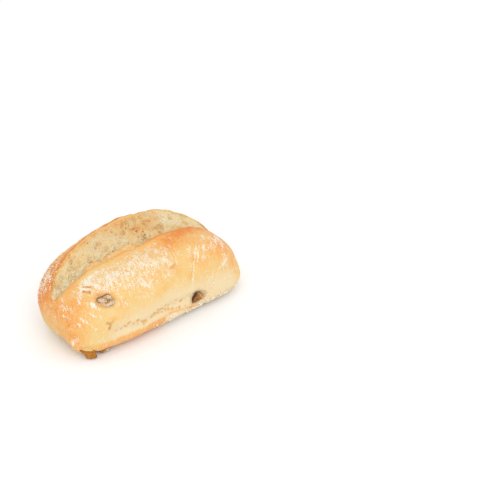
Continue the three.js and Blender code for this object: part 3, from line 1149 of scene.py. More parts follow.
@dataclass(frozen=True)
class OlivePlace:
    """Where an olive piece lies, before the roll's shift, and its size.

    at is its middle and out the way out of the crust there. size is its length, breadth and thickness, and
    spin turns it about out, in degrees. caught is how dark its rim is, and how dark the painted shade is in
    its creases and on the crust round it. dust is how much flour lies on it, dark how brown all of it is,
    dough how much dough is drawn over its right part, and bared how far the crust over it is cut away. taper
    narrows its left end by that share, corners is above 1 for a cornered outline, and cut is the share of its
    thickness at which the knife cut it flat.
    """

    at: Triple
    out: Triple
    size: Triple
    spin: float
    caught: float = 0.6
    dust: float = 0.3
    taper: float = 0.1
    corners: float = 1.15
    cut: float = 1.0
    dark: float = 0.0
    dough: float = 0.0
    bared: float = 0.0

    def axes(self) -> Array:
        """Gives its directions.

        Returns:
            The unit vectors along its length, its breadth and its thickness, as rows.
        """
        away = np.array(self.out) / np.linalg.norm(self.out)
        level = np.cross([0.0, 0.0, 1.0], away)
        level /= np.linalg.norm(level)
        uphill = np.cross(away, level)
        cosine, sine = np.cos(np.radians(self.spin)), np.sin(np.radians(self.spin))
        return np.stack([level * cosine + uphill * sine, uphill * cosine - level * sine, away])

    def middle(self) -> Array:
        """Gives its middle in the roll's frame."""
        return np.array(self.at) + SHIFT

    def local(self, points: Array) -> Array:
        """Gives points as shares of its half length, half breadth and half thickness."""
        return (points - self.middle()) @ self.axes().T / (np.array(self.size) / 2)


OLIVES: dict[str, OlivePlace] = {
    "olive_front": OlivePlace(
        (-36.1, -18.9, 30.1), (-0.2, -0.84, 0.54), (9.6, 6.2, 4.6), -24, caught=0.95, dust=1.0, taper=0.4
    ),
    "olive_low_right": OlivePlace(
        (19.7, -24.9, 9.6), (0, -1, 0.05), (9.8, 5.1, 4.2), 12, 0.9, 0.1,
        corners=1.3, dark=0.35, dough=0.6, bared=0.4,
    ),
    "olive_corner": OlivePlace(
        (-49.3, -19.7, 3.9), (-0.5, -0.8, 0.1), (9.8, 6.0, 3.8), -32, 0.2, 0,
        taper=0.4, corners=1.4, cut=0.5, bared=0.8,
    ),
    "olive_corner_small": OlivePlace(
        (-40, -20.6, 1.8), (-0.05, -1, 0.1), (6.4, 3.2, 3), 6, 0.5, 0.8, dark=0.25, bared=0.7
    ),
    "olive_back_left": OlivePlace((-27, 29.4, 25), (-0.05, 0.95, 0.3), (9.4, 6.8, 5), 28, 0.5, 0.4),
    "olive_back_right": OlivePlace((24.1, 30.1, 12.5), (0.1, 1, -0.05), (8.6, 6, 4.6), -20, 0.4, 0.2),
    "olive_back_rim": OlivePlace((36.3, 25.2, 31.4), (0.25, 0.85, 0.45), (7.4, 5.4, 4.4), 12, 0.6, 0.5),
    "olive_right_end": OlivePlace((57.2, -4, 17), (1, -0.05, 0.1), (8.2, 6, 4.4), 35, 0.5, 0.3),
}


@dataclass(frozen=True)
class Stroke:
    """A line on the crust through corners in the roll's frame, in millimetres.

    half is the half width over which it fades. depth is how far it is split, scorch how dark the split is,
    and flour how much flour lies along it. reach is how far over or under the line the crust may lie.
    """

    corners: Rows
    half: float
    depth: float = 0.0
    scorch: float = 0.0
    flour: float = 0.0
    reach: float = 3.0

    def nearness(self, points: Array, normals: Array) -> Array:
        """Says how near each point is to the line, seen straight onto the crust.

        Args:
            points: points of the crust.
            normals: the unit vectors out of it there.

        Returns:
            1 on the line and 0 away from it, by a bell over the distance from its nearest leg.
        """
        nearest = np.full(points.shape[:-1], np.inf)
        for start, end in zip(np.array(self.corners[:-1]), np.array(self.corners[1:])):
            way = end - start
            share = np.clip((points - start) @ way / (way @ way), 0, 1)
            off = points - start - share[..., None] * way
            rise = np.sum(off * normals, axis=-1, keepdims=True)
            flat = np.linalg.norm(off - rise * normals, axis=-1)
            nearest = np.minimum(nearest, np.where(np.abs(rise[..., 0]) < self.reach, flat, np.inf))
        return bell(nearest / self.half)


@dataclass(frozen=True)
class Patch:
    """A soft patch: its middle and half sizes along X, Y and Z, in the roll's frame, and its level."""

    middle: Triple
    half: Triple
    level: float

    def at(self, points: Array) -> Array:
        """Gives its level times a bell over the distance from its middle."""
        off = (points - np.array(self.middle)) / np.array(self.half)
        return self.level * np.exp(-np.sum(off * off, axis=-1))


@dataclass
class CrustPoints:
    """The crust's points and what is known of them.

    from_edge is how far each is from its slash edge round the girth, and on_front marks the columns on the
    front side. outside is 1 outside the slash and 0 inside it, and gape is how far the slash is open there.
    """

    points: Array
    from_edge: Array
    on_front: Array
    outside: Array
    gape: Array

    def axes(self) -> tuple[Array, Array, Array]:
        """Gives X, Y and Z of the points."""
        return self.points[..., 0], self.points[..., 1], self.points[..., 2]


@dataclass(frozen=True)
class CrustMarks:
    """What handling, flour and the oven left on the crust. Places are in the roll's frame, in millimetres."""

    relief: CrustRelief
    seed: int = 11
    # The teeth along the slash: how far they reach, how long the coarse and the fine ones are, and how high.
    teeth_reach: float = 1.3
    teeth_sizes: Pair = (3.6, 1.7)
    front_teeth: Pair = (0.45, 0.3)
    back_teeth: Pair = (0.3, 0.45)
    teeth_lean: float = 0.4
    # The unevenness of all the crust, and the curls of the torn dough at the tips.
    lumps: tuple[Bumps, Bumps] = (Bumps(0.22, 16.0, 2), Bumps(0.09, 4.5, 3))
    blister_height: float = 0.07
    blister_gap: float = 1.9
    grain: Bumps = Bumps(0.03, 0.9, 2)
    curls: Bumps = Bumps(0.25, 2.4, 3)
    # The torn band: how far its pale middle lies under its deepest line, half its height, and its relief.
    torn_below: float = 0.4
    torn_half: float = 3.1
    fibre_height: float = 0.1
    uneven_height: float = 0.14
    strokes: tuple[Stroke, ...] = (
        # Splits.
        Stroke(((-42.2, -10, 35), (-39.6, -13.4, 35.4)), 0.5, 0.2, 0.8),
        Stroke(((-43.8, -12.3, 34), (-41.6, -15.1, 34)), 0.6, 0.2, 0.9),
        Stroke(((3.6, -25, 34), (6.6, -24.4, 34.2)), 0.8, 0.15, 0.5),
        Stroke(((-40.5, -26.8, 20.7), (-38.8, -27.5, 19), (-39.7, -27.5, 16.8)), 0.65, 0.2, 1),
        Stroke(((-37.5, -27.6, 20.3), (-38.8, -27.5, 19)), 0.5, 0.2, 0.8),
        Stroke(((-0.6, 17.4, 47), (1.8, 17.5, 47)), 0.9, 0, 0.7),
        # Flour along the crease.
        Stroke(((25.3, -19.6, 37), (18.9, -25.3, 29.6), (14.4, -29.2, 20.7)), 0.45, flour=1.1),
        Stroke(((23.9, -23, 34.3), (21.2, -25.6, 30.4)), 0.45, flour=1.2),
        Stroke(((20.7, -19.7, 37.4), (17.1, -23.5, 34.2)), 1.1, flour=0.7),
        Stroke(((29, -21.2, 35), (24.9, -25.6, 30.3)), 0.8, flour=0.7),
        # Flour streaks and dots on the left end, the front and the right end.
        Stroke(((-44.1, -19.9, 30.1), (-43.9, -20.5, 29.7)), 1.4, flour=1.3),
        Stroke(((-44.1, -19.9, 30.1), (-42.1, -23.1, 27.8)), 0.55, flour=1),
        Stroke(((-47.3, -21.3, 26.9), (-45.1, -24.1, 24.5)), 0.45, flour=1),
        Stroke(((-48, -20, 27.8), (-45.4, -23.3, 25.5)), 0.45, flour=1),
        Stroke(((-51.6, -19.7, 24.9), (-46, -25.5, 18.9)), 0.45, flour=1),
        Stroke(((-53.2, -19.8, 22.4), (-51.6, -22.3, 19.2)), 0.5, flour=0.9),
        Stroke(((-56.1, -11, 24.7), (-55.1, -15.7, 23.9)), 0.7, flour=0.85),
        Stroke(((-45.5, -11, 33.4), (-48.5, -15, 30.7)), 1.3, flour=0.5),
        Stroke(((-55, -7, 27), (-53.4, -12.9, 27.5)), 1.6, flour=0.6),
        Stroke(((34.4, -14.2, 36.6), (33.6, -15, 36.4)), 0.9, flour=1.1),
        Stroke(((6.1, -8.4, 40.5), (5.6, -9.6, 40.2)), 0.8, flour=1),
        Stroke(((16.1, -9, 40.4), (15.6, -10.4, 39.9)), 0.8, flour=1),
        Stroke(((41.4, -25.5, 22.5), (34.5, -27.3, 21)), 0.9, flour=0.7),
        Stroke(((44.4, -13.3, 31.9), (42, -21.6, 29.7)), 1.9, flour=0.5),
    )
    # The pits of the torn band: X and Z, radius and depth.
    pits: Rows = (
        (-35.6, 13.6, 0.9, 0.7), (-32.5, 13.4, 0.7, 0.6), (-30.6, 14.6, 0.8, 0.7), (-28.1, 15.5, 1.2, 0.9),
        (-25.4, 14.0, 0.8, 0.7), (-22.9, 14.8, 1.1, 0.9), (-18.2, 11.9, 1.5, 1.3), (-20.3, 13.0, 0.8, 0.7),
        (-13.6, 12.5, 0.9, 0.8), (-12.6, 15.4, 0.6, 0.5), (-11.1, 13.9, 0.9, 0.9), (-9.9, 15.9, 0.6, 0.5),
        (-9.0, 12.9, 0.9, 0.9), (-8.0, 15.0, 0.8, 0.8), (-6.6, 12.4, 0.6, 0.6), (-6.0, 14.3, 0.9, 0.9),
        (-4.3, 16.1, 0.7, 0.6), (-4.3, 13.2, 0.7, 0.6), (-2.2, 14.7, 0.6, 0.5), (-2.4, 12.4, 0.9, 0.8),
        (-0.1, 11.6, 0.8, 0.7), (2.2, 11.3, 0.7, 0.7), (4.4, 10.9, 0.8, 0.7), (6.0, 13.9, 0.9, 1.0),
        (8.3, 10.2, 0.6, 0.6),
    )
    # The small pits between them: how many, where along X, how far over the band's middle and how much that
    # varies, and their radii.
    small_pits: int = 34
    small_pit_span: Pair = (-36.0, 12.0)
    small_pit_over: Pair = (1.4, 1.3)
    small_pit_radii: Pair = (0.25, 0.55)
    pit_stretch: float = 1.3
    pit_depth: float = 0.25
    pit_rim: float = 0.1
    # The bare brown crust along the back edge, and the brown patch on the left of it.
    bare_level: float = 0.34
    bare_from_edge: float = 2.2
    bare_half: float = 1.6
    bare_patch: Patch = Patch((-46, 17, 32), (12, 8, 9), 0.36)
    # How deep the crust is drawn in along an olive's rim, and over all of the piece.
    drawn_rim: float = 0.5
    drawn_over: float = 0.2
    # The strip of skin under the torn band: its top on the left, and its thin right part's X and Z.
    strip_top: float = 10.2
    thin_strip: Rows = ((-6, 9.6), (1, 9.9), (7.4, 8.6), (15.7, 5.8), (21, 4.4))
    # The film of flour over the lower front: X and Z of its top, and how pale it is.
    film_top: Rows = ((-38, 17), (-28, 19), (-15, 21), (0, 23), (14, 21), (26, 18), (48, 15))
    film_level: float = 0.78
    # Where the crust is browner or paler than the rest.
    browner: tuple[Patch, ...] = (
        # The left end.
        Patch((-57, -3, 22), (12, 20, 16), 0.2), Patch((-57, -12, 9), (9, 12, 8), 0.2),
        Patch((-54, -16, 19), (8, 10, 12), 0.26), Patch((-52, 13, 28), (14, 12, 14), 0.34),
        # The right end, the shoulder beside the crease, and the rim of the hollow low on the right.
        Patch((52, -8, 27), (15, 22, 15), 0.24), Patch((37, -19, 33), (9, 8, 7), 0.24),
        Patch((26, -29.4, 12.6), (3, 3, 1.2), 0.5), Patch((13, -29.5, 7.5), (2.5, 3, 1.6), 0.3),
        Patch((48, -22, 16), (7, 9, 9), 0.24),
        # Under the olive in the front, and on the lip beside the crease.
        Patch((-36.6, -27.8, 21.5), (2, 2, 1.5), 0.25), Patch((14, -13.5, 39.7), (9, 6, 4), 0.34),
        # Paler places on the right shoulder and along the front.
        Patch((36, -20.4, 33.4), (5, 4, 4), -0.12), Patch((36, -10, 37), (8, 6, 4), -0.1),
        Patch((-2, -28, 25), (14, 6, 6), -0.08), Patch((-30, -26, 12), (22, 8, 5), -0.1),
    )
    # Where more or less flour lies than on the rest.
    dustier: tuple[Patch, ...] = (
        # Along the top of the front, from the left to the crease and past it.
        Patch((-16, -18, 37), (17, 12, 8), 0.56), Patch((-37, -7, 38), (11, 9, 6), 0.55),
        Patch((2, -16, 39), (12, 9, 7), 0.4), Patch((-13, -27, 30), (13, 7, 5), 0.25),
        Patch((26, -17, 37), (9, 8, 7), 0.3),
        # The right end and the lower right of the front.
        Patch((43, -18, 31), (5, 6, 5), 0.5), Patch((41.4, -25.5, 22.5), (3, 3, 4.5), 0.6),
        Patch((30, -28, 18), (13, 7, 5), 0.2),
        # Small heaps, and two places that were rubbed bare.
        Patch((4, -24.3, 34.9), (4, 3, 3), 0.4), Patch((-38, -15.4, 35.5), (4, 3, 3), 0.3),
        Patch((-30, -17.5, 37), (6, 4, 3.5), 0.4), Patch((36, -20.4, 33.4), (4, 3, 3.5), 0.35),
        Patch((-0.4, -16, 39.5), (4, 4, 4), -0.25), Patch((18, -15.5, 39.3), (6, 5, 4), -0.45),
        # The left end, its back and its low corner.
        Patch((-40.6, -11.3, 35.5), (3.5, 2.5, 2), 0.6), Patch((-42, -11, 36), (3, 2.5, 3), 0.4),
        Patch((-53, 14, 32), (7, 6, 8), 0.85), Patch((-55.8, -19, 11.4), (4, 3, 2.5), 0.6),
        # The back.
        Patch((-10, 24, 30), (34, 10, 12), 0.35), Patch((30, 26, 18), (20, 10, 12), 0.3),
    )

    def apply(self, surface: Surface, skin: CrustPoints) -> None:
        """Adds the fine relief and the fields that the finish reads.

        Args:
            surface: the crust so far, which is changed.
            skin: its points, which follow it.
        """
        noise = [DoughNoise(self.seed + i) for i in range(5)]
        x, y, z = skin.axes()
        outside = skin.outside
        front_face = ramp(-12, -22, y)
        off_base = ramp(0.2, 3.0, z)
        points = skin.points + self._teeth(skin, noise)
        surface.rings = points

        lumps = sum(bumps.on(points, field) for bumps, field in zip(self.lumps, noise[2:4]))
        blistered = ramp(-0.2, 0.5, noise[2].smooth(points, 9.0))
        blisters = self.blister_height * ramp(0.75, 0.2, noise[4].cells(points, self.blister_gap)) * blistered
        height = (lumps + blisters + self.grain.on(points, noise[0])) * off_base * outside
        height += self.curls.on(points, noise[1]) * (1 - outside)

        # The torn band: fibres that run upwards, and pits with thin rims.
        deepest = self.relief.tear_middle(x)
        ends = self.relief.tear_ends(x) * front_face
        torn = ends * bell((z - deepest + self.torn_below) / self.torn_half)
        torn = np.clip(torn * (1.15 + 0.5 * noise[1].rough(points, 3.0, 3)), 0, 1)
        fibres = noise[3].rough(points * np.array([1.0, 1.0, 0.35]), 0.9, 2)
        uneven = noise[1].rough(points, 1.3, 2)
        height += (self.fibre_height * fibres + self.uneven_height * uneven) * torn * outside
        pitted = np.zeros_like(x)
        for pit_x, pit_z, radius, depth in self._all_pits():
            q = np.hypot((x - pit_x) / (self.pit_stretch * radius), (z - pit_z) / radius) + 0.6 * uneven
            dent = self.pit_depth * depth * ramp(1.15, 0.35, q) - self.pit_rim * bell((q - 1.3) / 0.3)
            height -= front_face * outside * dent
            pitted = np.maximum(pitted, front_face * ramp(1.1, 0.5, q))

        # The bare brown crust behind the slash.
        behind = np.where(skin.on_front, 0.0, outside) * np.clip(1.0 + 0.9 * uneven, 0, 1)
        bare = bell((skin.from_edge - self.bare_from_edge) / self.bare_half)
        scorch = np.maximum(0.0, behind * self.bare_level * bare * skin.gape**0.3)
        scorch = np.maximum(scorch, behind * self.bare_patch.at(points))

        # Splits and flour streaks, which waver, and the crust drawn in round each olive piece, with a painted
        # shadow ring along each piece's rim.
        waver = 0.5 * np.stack([noise[i].smooth(points, 1.6) for i in (0, 1, 2)], axis=-1)
        flour = np.zeros_like(x)
        normals = surface.normals()
        for stroke in self.strokes:
            near = stroke.nearness(points + waver, normals) * outside * np.clip(0.8 + 0.7 * uneven, 0, 1)
            height -= stroke.depth * near
            scorch = np.maximum(scorch, 0.75 * stroke.scorch * near)
            pitted = np.maximum(pitted, stroke.scorch * near)
            flour += stroke.flour * near
        for olive in OLIVES.values():
            local = olive.local(points)
            q = np.hypot(local[..., 0], local[..., 1]) + 0.12 * fibres + 0.16 * uneven
            deep = ramp(-3.2, -1.0, local[..., 2]) * outside
            over = (self.drawn_over + olive.bared) * bell(q / 1.3)
            height -= deep * (self.drawn_rim * bell((q - 1.0) / 0.25) + over)
            # A dark ring where the crust meets the piece, laid into the scorch field: painted shade at the
            # contact.
            scorch = np.maximum(scorch, deep * 0.4 * olive.caught * bell((q - 0.95) / 0.25))
        surface.push(height)

        skin.points = surface.rings
        strip, under = self._strip(skin.points, noise[1])
        flour += self._dust(skin, under, noise[4])
        surface.fields = {
            "bake": np.clip(self._bake(skin, strip, noise) + 0.32 * pitted, 0, 1),
            "dust": flour * (1 - 0.8 * scorch) * (1 - pitted) * outside,
            "torn": self._pale(skin.points, torn, strip, under, noise[3]) * (1 - pitted),
            "scorch": np.clip(np.maximum(scorch, 0.2 * pitted), 0, 1),
        }

    def _teeth(self, skin: CrustPoints, noise: list[DoughNoise]) -> Array:
        """Works out the small teeth that the tear left along both edges of the slash.

        Args:
            skin: the crust's points.
            noise: random fields.

        Returns:
            How far each point moves, as XYZ: two noises along X, which fade by a bell from the edge.
        """
        x = skin.points[..., 0]
        level = np.zeros_like(x)
        along = np.stack([x, level, level], axis=-1)
        coarse_size, fine_size = self.teeth_sizes
        coarse = noise[0].rough(along + 40.0, coarse_size, 3)
        fine = noise[1].rough(along + 90.0, fine_size, 2)
        front, back = (a * coarse + b * fine for a, b in (self.front_teeth, self.back_teeth))
        lift = np.where(skin.on_front, front, back)
        near = bell(skin.from_edge / self.teeth_reach) * skin.gape**0.5
        return np.stack([level, self.teeth_lean * lift * near, lift * near], axis=-1)

    def _all_pits(self) -> list[tuple[float, float, float, float]]:
        """Lists the pits of the torn band.

        Returns:
            X, Z, radius and depth of each, the scattered small ones last.
        """
        rng = np.random.default_rng(self.seed)
        x = rng.uniform(*self.small_pit_span, self.small_pits)
        z = self.relief.tear_middle(x) + rng.normal(*self.small_pit_over, self.small_pits)
        radii = rng.uniform(*self.small_pit_radii, self.small_pits)
        return [*self.pits, *zip(x, z, radii, radii)]

    def _strip(self, points: Array, noise: DoughNoise) -> tuple[Array, Array]:
        """Finds the orange strip of skin under the torn band.

        Args:
            points: the crust's points.
            noise: a random field.

        Returns:
            How far each point is on the strip, and how far on the pale floury base under its thin part.
        """
        x, y, z = points[..., 0], points[..., 1], points[..., 2]
        front = ramp(-8, -16, y)
        sway = 0.7 * noise.rough(points, 4.0, 2)
        thin_x, thin_z = np.array(self.thin_strip).T
        middle = np.interp(x, thin_x, thin_z) + 0.5 * sway
        right = ramp(-7, -1, x)
        broad = ramp(0.0, -1.6, z - self.strip_top - sway) * (1 - right)
        thin = bell(z - middle) * right * ramp(22, 15, x)
        under = ramp(-0.6, -2.0, z - middle) * right * ramp(38, 26, x)
        return front * np.maximum(broad, thin), front * under

    def _pale(self, points: Array, torn: Array, strip: Array, under: Array, noise: DoughNoise) -> Array:
        """Says how pale each place is.

        Args:
            points: the crust's points.
            torn: how far each is on the torn band.
            strip: how far it is on the strip of skin.
            under: how far it is on the floury base under it.
            noise: a random field.

        Returns:
            0 for browned skin and 1 for pale dough: the greatest of torn band, base and film, less the strip.
        """
        x, y, z = points[..., 0], points[..., 1], points[..., 2]
        top_x, top_z = np.array(self.film_top).T
        over = z - np.interp(x, top_x, top_z) - 1.5 * noise.rough(points, 9.0, 3)
        film = self.film_level * ramp(5.0, -5.0, over) * ramp(-16, -23, y)
        film = film * ramp(-43, -34, x) * ramp(52, 42, x)
        return np.clip(np.maximum(film, np.maximum(0.9 * torn, 0.75 * under)) * (1 - 0.85 * strip), 0, 1)

    def _bake(self, skin: CrustPoints, strip: Array, noise: list[DoughNoise]) -> Array:
        """Says how far each place has browned.

        Args:
            skin: the crust's points.
            strip: how far each is on the strip of skin under the torn band.
            noise: random fields.

        Returns:
            0 for pale dough, about 0.5 for golden and 1 for toasted.
        """
        x, y, z = skin.axes()
        from_edge, on_front, outside = skin.from_edge, skin.on_front, skin.outside
        level = 0.35 + 0.2 * ramp(14, 32, z) + 0.14 * ramp(0, 16, y) * ramp(4, 14, z)
        level += sum(patch.at(skin.points) for patch in self.browner)
        # The ear is the raised right part of the front lip. A paler line runs beside its left part.
        ear = bell((x - 28) / 15) * ramp(11, 1, from_edge) * on_front
        level += 0.48 * ear - 0.03 * bell((from_edge - 5.0) / 3.0) * on_front * ramp(-4, -14, x)
        # The very edge in the front, and a broader band along the left and the middle of the back edge.
        level += bell(from_edge / 0.9) * skin.gape**0.3 * np.where(on_front, 0.28, 0.0) * outside
        level += 0.24 * bell(from_edge / 3.0) * np.where(on_front, 0.0, outside) * ramp(36, 20, x)
        level = mix(0.4, level, outside)
        # The strip under the torn band, the rim of the base, and the unevenness of all the crust.
        level += 0.44 * strip * ramp(-52, -42, x) + 0.15 * ramp(3.5, 0.4, z)
        curls = 0.22 * noise[1].rough(skin.points, self.curls.size, self.curls.octaves)
        level += 0.09 * noise[2].rough(skin.points, 13.0, 3) + curls * (1 - outside)
        return np.clip(level, 0, 1)

    def _dust(self, skin: CrustPoints, under: Array, noise: DoughNoise) -> Array:
        """Says how much flour lies at each place.

        Args:
            skin: the crust's points.
            under: how far each is on the floury base under the strip.
            noise: a random field.

        Returns:
            0 for bare crust and 1 for thick flour.
        """
        x, y, z = skin.axes()
        from_edge = skin.from_edge
        total = 0.34 + sum(patch.at(skin.points) for patch in self.dustier)
        # The ear is barer, the edges are bare, and the foot has picked flour up from the board.
        total -= 0.3 * bell((x - 24) / 22) * ramp(9, 2, from_edge) * ramp(6, 0, y)
        total = total * ramp(0.8, 4.0, from_edge) + 0.5 * ramp(1.2, 0.1, z) * ramp(0, 0.4, from_edge)
        total += 0.16 * noise.rough(skin.points, 10.0, 3)
        total += 0.55 * under
        return np.clip(total, 0, 1.3)


@dataclass
class Crust:
    """The roll's crust, from the base up both sides to the slash, whose edges it forms."""

    loaf: LoafForm
    slash: SlashForm
    relief: CrustRelief
    stations: int = 326
    front_knots: tuple[float, ...] = (0.0, 0.17, 0.93, 1.0)
    front_counts: tuple[int, ...] = (0, 12, 130, 150)
    back_knots: tuple[float, ...] = (0.0, 0.07, 0.83, 1.0)
    back_counts: tuple[int, ...] = (0, 16, 118, 130)
    tip_bulge: float = 0.15
    # How the crust turns under at each edge of the slash, as steps along Y and Z.
    front_lip: Rows = ((0.3, -0.3), (0.2, -0.9), (-0.8, -1.5), (-1.5, -2.8))
    back_lip: Rows = ((0.6, -3.0), (0.1, -1.6), (-0.25, -0.8), (-0.2, -0.25))
    floor_depth: float = 3.2
    floor_places: tuple[float, ...] = (0.18, 0.36, 0.54, 0.72, 0.88)
    # The slash's tips, whose inside is crust: how far it is open where that starts and where it is all crust,
    # and how far from the edge that crust counts as lying.
    tip_gape: Pair = (0.35, 0.12)
    tip_from_edge: float = 5.0

    def surface(self) -> Surface:
        """Works out the crust's surface with all its relief.

        Returns:
            The surface, with the fields bake, dust, torn and scorch.
        """
        loaf, slash = self.loaf, self.slash
        stations = loaf.stations(loaf.station_angles(self.stations), slash)
        edges = {side: slash.edge_share(loaf, stations, side)[:, None] for side in Side}
        st = stations.column()

        front_share = edges[Side.FRONT] * spread_columns(self.front_knots, self.front_counts)
        back_share = mix(edges[Side.BACK], 1.0, spread_columns(self.back_knots, self.back_counts))[:, :-1]
        front = slash.crust(loaf, st, front_share, edges[Side.FRONT], Side.FRONT)
        back = slash.crust(loaf, st, back_share, edges[Side.BACK], Side.BACK)
        front_edge = (front[0][:, -1:], front[1][:, -1:])
        back_edge = (back[0][:, :1], back[1][:, :1])

        size = slash.lip_size(st)
        turns = [
            tuple(edge + np.array(steps)[None, :] * size for edge, steps in zip(edge_yz, zip(*lip)))
            for edge_yz, lip in ((front_edge, self.front_lip), (back_edge, self.back_lip))
        ]
        floor = slash.valley(st, front_edge, back_edge, np.array(self.floor_places)[None, :])
        floor = (floor[0], floor[1] - self.floor_depth * size)

        strips = (front, turns[0], floor, turns[1], back)
        y, z = (np.concatenate([strip[i] for strip in strips], axis=1) for i in range(2))
        x = np.broadcast_to(st.x, y.shape)
        lip, rest = front[0].shape[1], back[0].shape[1]
        inner = np.ones((len(stations.x), y.shape[1] - lip - rest))
        whole_front, whole_back = (np.ones_like(side[0]) for side in (front, back))
        crusty = np.concatenate([whole_front, inner * (1 - st.gape), whole_back], axis=1)
        from_edge = np.concatenate([front[2], np.zeros_like(inner), back[2]], axis=1)
        height = loaf.outward(x, y, z) * (self.relief.height(x, y, z) * crusty)[..., None]
        rings = loaf.sag(x + height[..., 0], y + height[..., 1], z + height[..., 2])
        surface = Surface(rings, ring_tips(rings, self.tip_bulge))

        column = np.arange(y.shape[1])[None, :]
        inside = (column >= lip) & (column < y.shape[1] - rest)
        closed = ramp(*self.tip_gape, st.gape)
        outside = np.where(inside, closed, 1.0)
        skin = CrustPoints(rings, from_edge + self.tip_from_edge * closed, column < lip, outside, st.gape)
        CrustMarks(self.relief).apply(surface, skin)
        return surface

    def build(self, surface: Surface) -> bpy.types.Object:
        """Makes and dresses the crust.

        Args:
            surface: the crust's surface.

        Returns:
            The object, which stands for the bread.
        """
        obj = surface.to_object("crust_skin", start=self.front_counts[-1])
        obj.data.materials.append(WheatCrust().material())
        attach(obj, BODY)
        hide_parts("bread")
        return obj


@dataclass
class Crumb:
    """The crumb that shows in the slash: a slab whose top is torn, and whose rim lies inside the crust."""

    loaf: LoafForm
    slash: SlashForm
    stations: int = 520
    columns: int = 165
    under_columns: int = 12
    first: float = -53.5
    last: float = 53.5
    rim_front: Pair = (-0.9, -1.7)
    rim_back: Pair = (0.35, -0.35)
    ledge_lift: float = 1.2
    dive: float = 3.8
    thickness: float = 2.4
    tip_bulge: float = 0.1
    fine_stations: int = 4000
    seed: int = 5
    # The broad unevenness, the bumps of the ledge's top, and the finest ones.
    lumps: tuple[Bumps, Bumps] = (Bumps(0.6, 11.0, 2), Bumps(0.2, 3.6, 3))
    ledge_bumps: Bumps = Bumps(0.5, 2.4, 3)
    fine_bumps: Bumps = Bumps(0.18, 0.8, 3)
    strand_height: float = 0.28
    # The opened bubbles: how far apart they are, their depth, and how evenly they are spread.
    cups: Rows = ((5.6, 0.7, 0.5), (2.8, 0.6, 0.4), (1.35, 0.4, 0.3))
    # The torn walls: how far apart they are, and their height.
    walls: Rows = ((3.1, 0.26), (1.5, 0.24))
    bubbles: int = 30
    spreading_steps: Triple = (0.618034, 0.7548777, 0.5698403)
    cells: int = 420
    spot_reach: float = 2.4
    toast_under: float = 0.3
    # The hollows that stand out: X and the way across, radius, depth and how brown they are, which also sets
    # the painted shade in their deep part.
    hollows: Rows = (
        (-6.8, 0.87, 0.8, 0.6, 0.4), (-8.6, 0.95, 0.6, 0.4, 0.35), (-7.4, 0.62, 0.9, 0.5, 0.2),
        (-5.1, 0.8, 1, 0.4, 0.25), (9.3, 0.56, 0.6, 1.2, 1), (9.7, 0.63, 0.5, 0.8, 0.7),
        (4.8, 0.87, 0.6, 0.6, 0.6), (1.9, 0.8, 0.6, 0.5, 0.5), (6, 0.68, 0.7, 0.6, 0.4),
        (-13.3, 0.52, 0.45, 0.8, 0.8), (-22.6, 0.9, 0.8, 0.4, 0.3), (-29.2, 0.77, 0.6, 0.4, 0.35),
        (-35.3, 0.72, 2.8, 0.8, 0.1), (-41.2, 0.6, 1.6, 0.8, 0.3), (-48.5, 0.76, 2.6, 0.8, 0.15),
        (19.5, 0.57, 2.3, 0.9, 0.2), (17.8, 0.8, 5.2, 1, 0.15), (28.7, 0.79, 1.2, 0.4, 0.1),
        (38.2, 0.7, 1.5, 0.5, 0.15),
    )
    # The swellings: X and the way across, their half sizes in millimetres, height and how much more toasted.
    swellings: Rows = (
        (-3.5, 0.6, 3.4, 2, 0.8, -0.16), (-9.2, 0.74, 4, 2, 0.5, -0.12),
        (-5.1, 0.74, 2.4, 1.4, 0.4, -0.12), (4.3, 0.73, 2.6, 0.9, 0.4, 0.14),
        (14.8, 0.72, 4.5, 1.4, 0.8, -0.16), (21.4, 0.72, 4, 1.4, 0.9, -0.16),
        (26.8, 0.68, 4, 1.8, 0.7, -0.16), (32, 0.85, 7, 2.2, 0.7, -0.12),
        (18, 0.97, 8, 1.2, 0.4, -0.1), (-15.8, 0.87, 5.5, 1.4, 0.6, -0.12),
        (-19.3, 0.72, 4, 2, 0.4, -0.08), (-27, 0.72, 6, 2.2, 0.6, -0.08),
        (-47, 0.86, 6, 3, 1, 0),
    )

    def surface(self) -> Surface:
        """Works out the crumb's surface.

        Returns:
            The surface, with the fields toast and pit.
        """
        loaf, slash = self.loaf, self.slash
        fine = loaf.station_angles(self.fine_stations)
        wanted = np.linspace(self.first, self.last, self.stations)
        angles = np.interp(wanted, loaf.stations(fine, slash).x, fine)
        stations = loaf.stations(angles, slash)
        st = stations.column()
        size = slash.lip_size(st)
        edges = []
        for side, rim in ((Side.FRONT, self.rim_front), (Side.BACK, self.rim_back)):
            share = slash.edge_share(loaf, stations, side)[:, None]
            y, z, _ = slash.crust(loaf, st, share, share, side)
            edges.append((y + rim[0] * size, z + rim[1] * size))
        # The columns lie closer together near both edges.
        even = np.linspace(0, 1, self.columns)
        t = (even + 0.5 * (1 - np.cos(np.pi * even))) / 2
        y, z = slash.valley(st, edges[0], edges[1], t[None, :])
        z = z + self.ledge_lift * ramp(0.0, 0.06, t[None, :]) * slash.ledge(st.x, t[None, :])
        tips = ramp(self.first + 5, self.first, st.x) + ramp(self.last - 5, self.last, st.x)
        z = z - self.dive * size * tips
        way_back = np.pi * np.linspace(1, 0, self.under_columns + 2)[1:-1]
        low_y, low_z = slash.valley(st, edges[0], edges[1], ((1 - np.cos(way_back)) / 2)[None, :])
        sink = self.thickness * np.sin(way_back) ** 0.5
        y = np.concatenate([y, low_y], axis=1)
        z = np.concatenate([z, low_z - sink[None, :] * size], axis=1)
        rings = loaf.sag(np.broadcast_to(st.x, y.shape), y, z)
        surface = Surface(rings, ring_tips(rings, self.tip_bulge))
        self._tear(surface, t, st, edges)
        return surface

